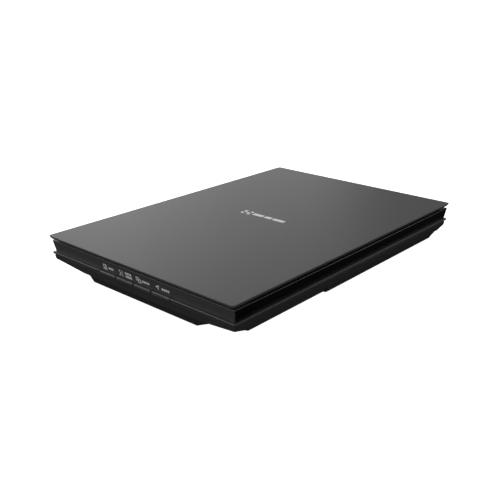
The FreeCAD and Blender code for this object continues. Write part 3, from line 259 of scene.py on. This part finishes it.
def striped(name, base, stripe, across, pitch):
    """Flat cable: conductors show as stripes under a clear film."""
    made, tree, shader = new_material(name)
    where = object_space(tree)
    wave = tree.nodes.new("ShaderNodeTexWave")
    wave.bands_direction = across
    wave.inputs["Scale"].default_value = math.pi / (10 * pitch)
    wave.inputs["Distortion"].default_value = 0.0
    link(tree, where, wave.inputs["Vector"])
    link(tree, two_tone(tree, wave.outputs["Fac"], base, stripe), shader.inputs["Base Color"])
    link(tree, bump(tree, wave.outputs["Fac"], 0.3, 0.00005), shader.inputs["Normal"])
    grain = noise(tree, where, 300.0)
    link(tree, spread(tree, grain, 0.25, 0.4), shader.inputs["Roughness"])
    return made


def foam(name, colour):
    """Open cells of the soft pad under the lid."""
    made, tree, shader = new_material(name)
    where = object_space(tree)
    cells = tree.nodes.new("ShaderNodeTexVoronoi")
    cells.inputs["Scale"].default_value = 1400.0
    link(tree, where, cells.inputs["Vector"])
    tone = two_tone(tree, cells.outputs["Distance"], shade(colour, 0.75), colour)
    link(tree, tone, shader.inputs["Base Color"])
    link(tree, bump(tree, cells.outputs["Distance"], 0.6, 0.0002), shader.inputs["Normal"])
    grain = noise(tree, where, 300.0)
    link(tree, spread(tree, grain, 0.85, 0.98), shader.inputs["Roughness"])
    shader.inputs["Sheen Weight"].default_value = 0.15
    return made


def make_materials():
    return {
        "lid_paint": grained("lid_paint", (0.075, 0.075, 0.077), 0.44, 0.00035, 0.000012, 0.02),
        "black_plastic": grained("black_plastic", (0.028, 0.028, 0.0285), 0.3, 0.0006, 0.00002, 0.08),
        "gloss_black": glossy("gloss_black", (0.0010, 0.0010, 0.0011), 0.2, 0.5),
        # bezel front in its own satin grey; its sideways returns painted near-black as painted shade
        "bezel_grey": satin_front_shaded_sides("bezel_grey", (0.045, 0.045, 0.0455), (0.001, 0.001, 0.0011), 0.34, 0.2, 0.3),
        "button_plastic": grained("button_plastic", (0.05, 0.05, 0.0505), 0.32, 0.0003, 0.000008, 0.05),
        "inner_plastic": grained("inner_plastic", (0.02, 0.02, 0.021), 0.55, 0.0008, 0.00003, 0.1),
        "natural_plastic": grained("natural_plastic", (0.62, 0.6, 0.53), 0.4, 0.0008, 0.00001, 0.05),
        "foam": foam("foam", (0.62, 0.62, 0.6)),
        "white_sheet": grained("white_sheet", (0.78, 0.78, 0.77), 0.35, 0.0009, 0.000008, 0.01),
        "steel": metal("steel", (0.55, 0.55, 0.56), 0.22, (1, 0.05, 1)),
        "brass": metal("brass", (0.62, 0.44, 0.16), 0.3),
        "clear_glass": glass("clear_glass", (0.90, 0.97, 0.94), 0.0),
        "lens_glass": glossy("lens_glass", (0.02, 0.02, 0.03), 0.08),
        "clear_acrylic": glass("clear_acrylic", (0.93, 0.97, 0.98), 0.08, 1.49),
        "circuit_board": circuit_board("circuit_board"),
        "chip_black": grained("chip_black", (0.015, 0.015, 0.016), 0.6, 0.0002, 0.00001, 0.1),
        "flex_white": striped("flex_white", (0.75, 0.75, 0.74), (0.5, 0.5, 0.5), "X", 0.001),
        "rubber_black": grained("rubber_black", (0.008, 0.008, 0.008), 0.85, 0.0005, 0.00003, 0.15, 0.3),
        "tape_black": grained("tape_black", (0.01, 0.01, 0.01), 0.9, 0.0003, 0.00003, 0.1, 0.2),
        "solder": metal("solder", (0.62, 0.62, 0.6), 0.35, (1, 1, 1), 1500.0),
        "label_silver": metal("label_silver", (0.5, 0.5, 0.5), 0.45, (1, 1, 1), 400.0),
        "print_white": grained("print_white", (0.62, 0.62, 0.62), 0.5, 0.0004, 0.000004, 0.02),
        "emblem_silver": grained("emblem_silver", (0.82, 0.82, 0.82), 0.35, 0.0004, 0.000004, 0.02),
    }


materials = make_materials()


def dress_frame():
    """Gives every CAD node the material of its slot in the record."""
    for entry in frame["record"]["subparts"]:
        node = nodes[entry["node"]]
        if not node.material_slots:
            node.data.materials.append(None)
        for slot in node.material_slots:
            slot.material = materials[entry["material_slot"]]


# ---------------------------------------------------------------- printed marks
PRINT_THICKNESS = 0.00004


def rectangle(x0, y0, x1, y1):
    return [(x0, y0), (x1, y0), (x1, y1), (x0, y1)]


def frame_lines(x0, y0, x1, y1, width):
    """Four strokes round a rectangle."""
    return [
        rectangle(x0, y0, x1, y0 + width),
        rectangle(x0, y1 - width, x1, y1),
        rectangle(x0, y0 + width, x0 + width, y1 - width),
        rectangle(x1 - width, y0 + width, x1, y1 - width),
    ]


def bracket_corners(x0, y0, x1, y1, arm, width):
    """Four L-shaped corners round a rectangle."""
    shapes = []
    for x, inward_x in ((x0, 1), (x1, -1)):
        for y, inward_y in ((y0, 1), (y1, -1)):
            xs = sorted((x, x + inward_x * arm))
            ys = sorted((y, y + inward_y * width))
            shapes.append(rectangle(xs[0], ys[0], xs[1], ys[1]))
            xs = sorted((x, x + inward_x * width))
            ys = sorted((y + inward_y * width, y + inward_y * arm))
            shapes.append(rectangle(xs[0], ys[0], xs[1], ys[1]))
    return shapes


def dashes(x, y, lengths, height, gap):
    shapes = []
    for length in lengths:
        shapes.append(rectangle(x, y, x + length, y + height))
        x += length + gap
    return shapes


def printed(name, outlines, place, material, body):
    """Flat raised marks: outlines in millimetres, laid in the plane of the matrix place."""
    mesh = bpy.data.meshes.new(name)
    work = bmesh.new()
    for outline in outlines:
        low = [work.verts.new((x * MM, y * MM, 0)) for x, y in outline]
        high = [work.verts.new((x * MM, y * MM, PRINT_THICKNESS)) for x, y in outline]
        work.faces.new(low[::-1])
        work.faces.new(high)
        for i, corner in enumerate(low):
            j = (i + 1) % len(low)
            work.faces.new((corner, low[j], high[j], high[i]))
    bmesh.ops.transform(work, matrix=place, verts=work.verts)
    work.to_mesh(mesh)
    work.free()
    piece = bpy.data.objects.new(name, mesh)
    piece.data.materials.append(material)
    bpy.context.scene.collection.objects.link(piece)
    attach(piece, body)
    return piece


# ---------------------------------------------------------------- legends above the buttons
# left edge of each legend across the bezel, in millimetres
LEGEND_LEFT = (-44.2, -20.5, 2.8, 28.0)
LEGEND_Z = 0.0266
LEGEND_SCALE = 1.4
LEGEND_PROBE = 0.01
ICON_MIDDLE = 2.0
ICON_STROKE = 0.55
WORD_START = 6.0
WORD_HEIGHT = 1.6
WORD_PITCH = 2.4
WORD_GAP = 0.4


def page_icon():
    fold = [(2.6, 4.0), (3.9, 2.7), (2.6, 2.7)]
    lines = [rectangle(1.2, 1.0, 2.9, 1.5), rectangle(1.2, 1.9, 2.4, 2.4)]
    return frame_lines(0.2, 0.0, 3.9, 4.0, ICON_STROKE) + [fold] + lines


def scan_icon():
    return bracket_corners(0, 0, 3.6, 4.0, 1.3, ICON_STROKE) + [rectangle(0.7, 1.7, 2.9, 2.3)]


def copy_icon():
    rear_sheet = frame_lines(0, 1.2, 3.0, 4.0, ICON_STROKE)
    front_sheet = frame_lines(1.8, 0, 4.8, 2.8, ICON_STROKE)
    return rear_sheet + front_sheet


def send_icon():
    head = [(4.0, 4.0), (0.2, 2.4), (1.8, 1.8)]
    tail = [(4.0, 4.0), (2.2, 1.6), (2.8, 0.2)]
    return [head, tail]


def legend_words(rows):
    """Rows of plain bars that stand for words, centred on the icon's height."""
    shapes = []
    block = (len(rows) - 1) * WORD_PITCH + WORD_HEIGHT
    top = ICON_MIDDLE + block / 2 - WORD_HEIGHT
    for row, lengths in enumerate(rows):
        shapes += dashes(WORD_START, top - row * WORD_PITCH, lengths, WORD_HEIGHT, WORD_GAP)
    return shapes


def surface_tree(node):
    """Search tree over a CAD node's faces."""
    mesh = nodes[node].data
    corners = [vertex.co for vertex in mesh.vertices]
    return BVHTree.FromPolygons(corners, [tuple(face.vertices) for face in mesh.polygons])


def bezel_place(tree, x_mm):
    """Plane on the front of the bezel, with its corner at the legend's lower left."""
    start = Vector((x_mm * MM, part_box("front_bezel")[0].y - LEGEND_PROBE, LEGEND_Z))
    point, out, _, _ = tree.ray_cast(start, Vector((0, 1, 0)))
    out = -out if out.y > 0 else out
    across = Vector((1, 0, 0))
    up = out.cross(across).normalized()
    place = Matrix.Identity(4)
    for column, axis in enumerate((across, up, out)):
        place.col[column] = (*axis, 0)
    place.translation = point
    return place @ Matrix.Scale(LEGEND_SCALE, 4)


def add_legends():
    designs = (
        ("legend_page", page_icon(), ((1.3, 1.3, 1.3),)),
        ("legend_scan", scan_icon(), ((1.3, 1.3, 1.0, 1.3), (1.2, 1.3, 1.3, 1.1))),
        ("legend_copy", copy_icon(), ((1.3, 1.4, 1.2, 1.4),)),
        ("legend_send", send_icon(), ((1.5, 1.4, 1.5, 1.4),)),
    )
    tree = surface_tree("front_bezel")
    for left, (name, icon, rows) in zip(LEGEND_LEFT, designs):
        place = bezel_place(tree, left)
        printed(name, icon + legend_words(rows), place, materials["print_white"], "base")


# ---------------------------------------------------------------- emblem on the lid
# all in millimetres
EMBLEM_LEFT = -31.0
EMBLEM_FRONT = -5.0
EMBLEM_ICON = (12.0, 10.0)
EMBLEM_ARM = 3.8
EMBLEM_STROKE = 1.9
EMBLEM_SCAN_LINE = (2.6, 4.0, 9.4, 6.0)
EMBLEM_BARS = (14.0, 9.0, 15.0)
EMBLEM_BARS_AT = (15.0, 2.2)
EMBLEM_BAR_HEIGHT = 5.6
EMBLEM_BAR_GAP = 2.2


def add_emblem():
    """Plain corner brackets round a scan line, followed by three bars."""
    shapes = bracket_corners(0, 0, *EMBLEM_ICON, EMBLEM_ARM, EMBLEM_STROKE)
    shapes.append(rectangle(*EMBLEM_SCAN_LINE))
    shapes += dashes(*EMBLEM_BARS_AT, EMBLEM_BARS, EMBLEM_BAR_HEIGHT, EMBLEM_BAR_GAP)
    place = Matrix.Translation((EMBLEM_LEFT * MM, EMBLEM_FRONT * MM, lid_high.z))
    printed("lid_emblem", shapes, place, materials["emblem_silver"], "lid")


# ---------------------------------------------------------------- marks on the window frame and label
# all in millimetres
GLASS_UNDER_FRAME = 5.0
TICK_WIDTH = 0.5
TICK_PITCH = 10.0
TICK_GAP = 2.0
TICK_SHORT = 2.0
TICK_LONG = 3.6
TICKS_PER_LONG = 5
LABEL_MARGIN = 1.5
LABEL_RULE = 0.4
LABEL_ROWS = 5
LABEL_ROW_RULE = 0.3
LABEL_BARS = (16.0, 9.0, 14.0)


def add_frame_marks():
    """Plain ruler ticks beside the window and an arrow at the corner where a page is lined up."""
    glass_low, glass_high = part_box("platen_glass")
    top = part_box("top_case")[1].z
    left, right = glass_low.x / MM + GLASS_UNDER_FRAME, glass_high.x / MM - GLASS_UNDER_FRAME
    front, rear = glass_low.y / MM + GLASS_UNDER_FRAME, glass_high.y / MM - GLASS_UNDER_FRAME
    shapes = []
    for index in range(int((right - left) / TICK_PITCH)):
        reach = TICK_SHORT if index % TICKS_PER_LONG else TICK_LONG
        x = right - index * TICK_PITCH
        shapes.append(rectangle(x - TICK_WIDTH, front - TICK_GAP - reach, x, front - TICK_GAP))
    for index in range(int((rear - front) / TICK_PITCH)):
        reach = TICK_SHORT if index % TICKS_PER_LONG else TICK_LONG
        y = rear - index * TICK_PITCH
        shapes.append(rectangle(right + TICK_GAP, y - TICK_WIDTH, right + TICK_GAP + reach, y))
    arrow = [(right + 1.0, front - 1.0), (right + 6.0, front - 2.6), (right + 2.6, front - 6.0)]
    shapes.append(arrow)
    place = Matrix.Translation((0, 0, top))
    printed("window_ticks", shapes, place, materials["print_white"], "base")


def add_label_print():
    """Blank ruled form on the underside label."""
    low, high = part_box("rating_label")
    width, depth = (high.x - low.x) / MM, (high.y - low.y) / MM
    edge = LABEL_MARGIN
    shapes = frame_lines(edge, edge, width - edge, depth - edge, LABEL_RULE)
    for row in range(1, LABEL_ROWS):
        y = depth * row / LABEL_ROWS
        shapes.append(rectangle(1.9, y, width - 1.9, y + LABEL_ROW_RULE))
    shapes += dashes(5.0, depth * 0.84, LABEL_BARS, 1.6, 2.0)
    place = Matrix.Translation((low.x, high.y, low.z)) @ Matrix.Rotation(math.pi, 4, "X")
    printed("label_rules", shapes, place, materials["chip_black"], "base")


# ---------------------------------------------------------------- soft pad under the lid
PAD_CORNER = 0.003
PAD_CORNER_STEPS = 6
# share of the height, and how far the side is set in there
PAD_PROFILE = (
    (0.0, 0.0008),
    (0.1, 0.0002),
    (0.3, 0.0003),
    (0.5, 0.0006),
    (0.7, 0.0003),
    (0.9, 0.0002),
    (1.0, 0.0008),
)


def rounded_loop(x0, y0, x1, y1, radius):
    """Points round a rectangle with rounded corners; x0 is negative and x1 positive."""
    points = []
    corners = ((x1, y1, 0), (x0, y1, 1), (x0, y0, 2), (x1, y0, 3))
    for x, y, quarter in corners:
        centre_x = x - math.copysign(radius, x)
        centre_y = y - (radius if y == y1 else -radius)
        for step in range(PAD_CORNER_STEPS + 1):
            angle = (quarter + step / PAD_CORNER_STEPS) * math.pi / 2
            points.append((centre_x + radius * math.cos(angle), centre_y + radius * math.sin(angle)))
    return points


def finished(name, work, material, body):
    """Turns the working mesh into a piece that rides on a body."""
    mesh = bpy.data.meshes.new(name)
    bmesh.ops.recalc_face_normals(work, faces=work.faces)
    work.to_mesh(mesh)
    work.free()
    mesh.materials.append(material)
    piece = bpy.data.objects.new(name, mesh)
    bpy.context.scene.collection.objects.link(piece)
    if body:
        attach(piece, body)
    return piece


def add_foam_pad():
    """Die-cut foam slab: flat against the lid and the sheet, its cut sides drawn in between them."""
    low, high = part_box("document_pad")
    work = bmesh.new()
    rings = []
    for share, inset in PAD_PROFILE:
        z = low.z + share * (high.z - low.z)
        loop = rounded_loop(low.x + inset, low.y + inset, high.x - inset, high.y - inset, PAD_CORNER)
        rings.append([work.verts.new((x, y, z)) for x, y in loop])
    for lower, upper in zip(rings, rings[1:]):
        for i, corner in enumerate(lower):
            j = (i + 1) % len(lower)
            work.faces.new((corner, lower[j], upper[j], upper[i]))
    work.faces.new(rings[0][::-1])
    work.faces.new(rings[-1])
    pad = finished("foam_pad", work, materials["foam"], "lid")
    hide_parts("document_pad")


# ---------------------------------------------------------------- flat cable to the carriage
FLEX_LOOP_HEIGHT = 0.0059
FLEX_THICKNESS = 0.0003
FLEX_STEP = 0.003
FLEX_ARC_STEPS = 16
FLEX_RISE_STEPS = 4
FLEX_IN_CONNECTOR = 0.002
UPPER_SEGMENTS = 6


def ribbon(name, path):
    """Thin strip with its middle line along the points (y, z)."""
    low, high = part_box("flat_flex_cable")
    work = bmesh.new()
    rows = []
    for index, (y, z) in enumerate(path):
        before, after = path[max(index - 1, 0)], path[min(index + 1, len(path) - 1)]
        run = Vector((0, after[0] - before[0], after[1] - before[1])).normalized()
        side = Vector((0, -run.z, run.y)) * FLEX_THICKNESS / 2
        middle = Vector((0, y, z))
        rows.append([
            work.verts.new(middle + side * sign + Vector((x, 0, 0)))
            for x, sign in ((low.x, -1), (high.x, -1), (high.x, 1), (low.x, 1))
        ])
    for first, second in zip(rows, rows[1:]):
        for i in range(4):
            j = (i + 1) % 4
            work.faces.new((first[i], first[j], second[j], second[i]))
    work.faces.new(rows[0])
    work.faces.new(rows[-1][::-1])
    piece = finished(name, work, materials["flex_white"], None)
    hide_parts("flat_flex_cable")
    return piece


def straight(y0, y1, z):
    count = max(2, round(abs(y1 - y0) / FLEX_STEP))
    return [(y0 + (y1 - y0) * i / count, z) for i in range(count + 1)]


def eased(t):
    """Weight that a blend gives at the share t of its length."""
    return t * t * (3 - 2 * t)


def add_flex_cable():
    """Lower run, half-round bend and upper run of the flat cable, each built where it lies.

    The upper run is cut where the blend's easing is nearly straight, because
    one long blend would fold it back past the front of the case.
    """
    low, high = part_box("flat_flex_cable")
    radius = (FLEX_LOOP_HEIGHT - FLEX_THICKNESS) / 2
    low_z = low.z + FLEX_THICKNESS / 2
    high_z = low_z + 2 * radius
    bend_y = low.y + FLEX_LOOP_HEIGHT / 2
    board_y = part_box("flex_connector")[0].y + FLEX_IN_CONNECTOR
    end_y = high.y - FLEX_THICKNESS / 2
    lower = ribbon("flex_lower_run", straight(board_y, bend_y, low_z))
    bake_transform(lower)
    arc = [math.pi / 2 + math.pi * i / FLEX_ARC_STEPS for i in range(FLEX_ARC_STEPS + 1)]
    middle_z = low_z + radius
    bend = [(bend_y + radius * math.cos(a), middle_z - radius * math.sin(a)) for a in arc]
    turn = ribbon("flex_bend", bend)
    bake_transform(turn)
    steps = range(1, FLEX_RISE_STEPS + 1)
    rise = [(end_y, high_z + (high.z - high_z) * i / FLEX_RISE_STEPS) for i in steps]
    for index in range(UPPER_SEGMENTS):
        first, last = (0.5 + 0.5 * (index + step) / UPPER_SEGMENTS for step in (0, 1))
        seam, next_seam = (bend_y + (2 * eased(t) - 1) * (end_y - bend_y) for t in (first, last))
        path = straight(seam, next_seam, high_z)
        if index == UPPER_SEGMENTS - 1:
            path += rise
        upper = ribbon(f"flex_upper_run_{index + 1}", path)
        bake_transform(upper)


# ---------------------------------------------------------------- small parts on the boards
def add_blocks(name, boxes, material, body, bevel=0.00008):
    """One mesh of small bevelled blocks; each box is its lowest and its highest corner."""
    work = bmesh.new()
    for low, high in boxes:
        size = Vector(high) - Vector(low)
        centre = (Vector(high) + Vector(low)) / 2
        made = bmesh.ops.create_cube(work, size=1.0)
        bmesh.ops.scale(work, vec=size, verts=made["verts"])
        bmesh.ops.translate(work, vec=centre, verts=made["verts"])
        edges = {edge for vert in made["verts"] for edge in vert.link_edges}
        bmesh.ops.bevel(work, geom=list(edges), offset=bevel, segments=1, affect="EDGES")
    return finished(name, work, material, body)


def on_board(x, y, half_x, half_y, height):
    """Block on the main board; x and y are millimetres from its left front corner."""
    low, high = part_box("main_board")
    middle_x, middle_y = low.x + x * MM, low.y + y * MM
    return (
        (middle_x - half_x * MM, middle_y - half_y * MM, high.z),
        (middle_x + half_x * MM, middle_y + half_y * MM, high.z + height * MM),
    )


# all in millimetres, from the board's left front corner
CONTROLLER_AT = (30.0, 28.0)
CONTROLLER_HALF = 7.0
LEAD_PITCH = 1.0
LEADS_PER_SIDE = 13
LEAD_HALF_WIDTH = 0.2
LEAD_HALF_LENGTH = 0.6
LEAD_HEIGHT = 0.25
LEFT_COLUMN_X = 19.5
RIGHT_COLUMN_X = 40.6
COLUMN_PITCH = 3.0
ROW_Y = 38.6
ROW_START_X = 8.0
ROW_PITCH = 3.2
ROW_CLEARANCE = 2.5
# half length and half width of the three sizes of resistor
RESISTOR_SIZES = ((0.8, 0.45), (0.55, 0.35), (1.0, 0.6))
RESISTOR_HEIGHT = 0.5
CAP_HEIGHT = 0.46


def add_board_parts():
    """Resistors in two columns and a row, and the leads round the controller."""
    bodies, caps, leads = [], [], []
    spots = [(LEFT_COLUMN_X, 9.0 + COLUMN_PITCH * i) for i in range(14)]
    spots += [(RIGHT_COLUMN_X, 18.0 + COLUMN_PITCH * i) for i in range(12)]
    row = [ROW_START_X + ROW_PITCH * i for i in range(9)]
    spots += [(x, ROW_Y) for x in row if abs(x - LEFT_COLUMN_X) > ROW_CLEARANCE]
    for index, (x, y) in enumerate(spots):
        half_x, half_y = RESISTOR_SIZES[index % len(RESISTOR_SIZES)]
        bodies.append(on_board(x, y, half_x * 0.62, half_y, RESISTOR_HEIGHT))
        for side in (-1, 1):
            cap_x = x + side * half_x * 0.8
            caps.append(on_board(cap_x, y, half_x * 0.2, half_y * 0.96, CAP_HEIGHT))
    chip_x, chip_y = CONTROLLER_AT
    reach = CONTROLLER_HALF + LEAD_HALF_LENGTH
    thin, long = LEAD_HALF_WIDTH, LEAD_HALF_LENGTH
    for index in range(LEADS_PER_SIDE):
        along = (index - (LEADS_PER_SIDE - 1) / 2) * LEAD_PITCH
        for side in (-1, 1):
            leads.append(on_board(chip_x + along, chip_y + side * reach, thin, long, LEAD_HEIGHT))
            leads.append(on_board(chip_x + side * reach, chip_y + along, long, thin, LEAD_HEIGHT))
    add_blocks("board_resistors", bodies, materials["chip_black"], "base")
    add_blocks("board_solder_caps", caps, materials["solder"], "base", 0.00004)
    add_blocks("controller_leads", leads, materials["solder"], "base", 0.00004)


CONTACT_COUNT = 5
CONTACT_PITCH = 0.0007
CONTACT_HALF_WIDTH = 0.00018


def add_usb_contacts():
    """Spring contacts along the underside of the socket's tongue."""
    low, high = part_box("usb_socket")
    middle_x, middle_z = (low.x + high.x) / 2, (low.z + high.z) / 2
    contacts = []
    for index in range(CONTACT_COUNT):
        x = middle_x + (index - CONTACT_COUNT // 2) * CONTACT_PITCH
        contacts.append((
            (x - CONTACT_HALF_WIDTH, high.y - 0.009, middle_z - 0.00052),
            (x + CONTACT_HALF_WIDTH, high.y - 0.0024, middle_z - 0.0004),
        ))
    add_blocks("usb_contacts", contacts, materials["brass"], "base", 0.00003)


# ---------------------------------------------------------------- stage and light
FLOOR_SIZE = 60.0
FLOOR_DROP = 0.0002
FLOOR_GLOW = 0.98


def add_floor():
    """White ground that shows behind the scanner but neither lights it nor shows in its gloss."""
    mesh = bpy.data.meshes.new("floor")
    work = bmesh.new()
    bmesh.ops.create_grid(work, x_segments=1, y_segments=1, size=FLOOR_SIZE)
    work.to_mesh(mesh)
    work.free()
    floor = bpy.data.objects.new("floor", mesh)
    floor.location.z = -FLOOR_DROP
    made, _, shader = new_material("floor_white")
    shader.inputs["Base Color"].default_value = (0.9, 0.9, 0.9, 1)
    shader.inputs["Roughness"].default_value = 0.9
    shader.inputs["Emission Color"].default_value = (1, 1, 1, 1)
    shader.inputs["Emission Strength"].default_value = FLOOR_GLOW
    mesh.materials.append(made)
    floor.visible_glossy = False
    floor.visible_diffuse = False
    bpy.context.scene.collection.objects.link(floor)


def add_softbox(name, place, aim, size, watts):
    data = bpy.data.lights.new(name, "AREA")
    data.shape = "RECTANGLE"
    data.size, data.size_y = size
    data.energy = watts
    lamp = bpy.data.objects.new(name, data)
    lamp.location = place
    lamp.rotation_euler = (Vector(aim) - Vector(place)).to_track_quat("-Z", "Y").to_euler()
    bpy.context.scene.collection.objects.link(lamp)


# name, place, width and height of the panel, watts
SOFTBOXES = (
    ("left_back_low", (-1.3, 1.1, 0.45), (1.2, 0.5), 2.4),
    ("right_back_low", (1.0, 0.9, 0.35), (0.8, 0.4), 2.2),
    ("front_low", (-0.3, -1.5, 0.15), (1.2, 0.3), 5.3),
    ("front_left", (-0.6, -0.5, 0.5), (0.4, 0.4), 2.3),
    ("left_near", (-0.45, 0.05, 0.22), (0.3, 0.2), 0.08),
    ("left_mid", (-0.75, 0.35, 0.35), (0.5, 0.4), 0.22),
    ("right_front_low", (1.0, -0.5, 0.25), (0.6, 0.3), 2.0),
)
LIGHT_AIM = (0, 0, 0.02)
SKY = 0.31
GROUND = 0.016
HORIZON = (-0.03, 0.06)


def add_world():
    """Even light from above, almost none from below the horizon."""
    world = bpy.data.worlds.new("studio")
    world.use_nodes = True
    tree = world.node_tree
    backdrop = tree.nodes["Background"]
    backdrop.inputs["Color"].default_value = (1, 1, 1, 1)
    coordinates = tree.nodes.new("ShaderNodeTexCoord")
    split = tree.nodes.new("ShaderNodeSeparateXYZ")
    link(tree, coordinates.outputs["Generated"], split.inputs["Vector"])
    horizon = tree.nodes.new("ShaderNodeMapRange")
    horizon.inputs["From Min"].default_value = HORIZON[0]
    horizon.inputs["From Max"].default_value = HORIZON[1]
    horizon.inputs["To Min"].default_value = GROUND
    horizon.inputs["To Max"].default_value = SKY
    link(tree, split.outputs["Z"], horizon.inputs["Value"])
    link(tree, horizon.outputs["Result"], backdrop.inputs["Strength"])
    bpy.context.scene.world = world
    bpy.context.scene.view_settings.view_transform = "Standard"


def add_lights():
    for name, place, size, watts in SOFTBOXES:
        add_softbox(name, place, LIGHT_AIM, size, watts)


dress_frame()
add_legends()
add_emblem()
add_frame_marks()
add_label_print()
add_foam_pad()
add_flex_cable()
add_board_parts()
add_usb_contacts()
add_floor()
add_lights()
add_world()
add_camera()
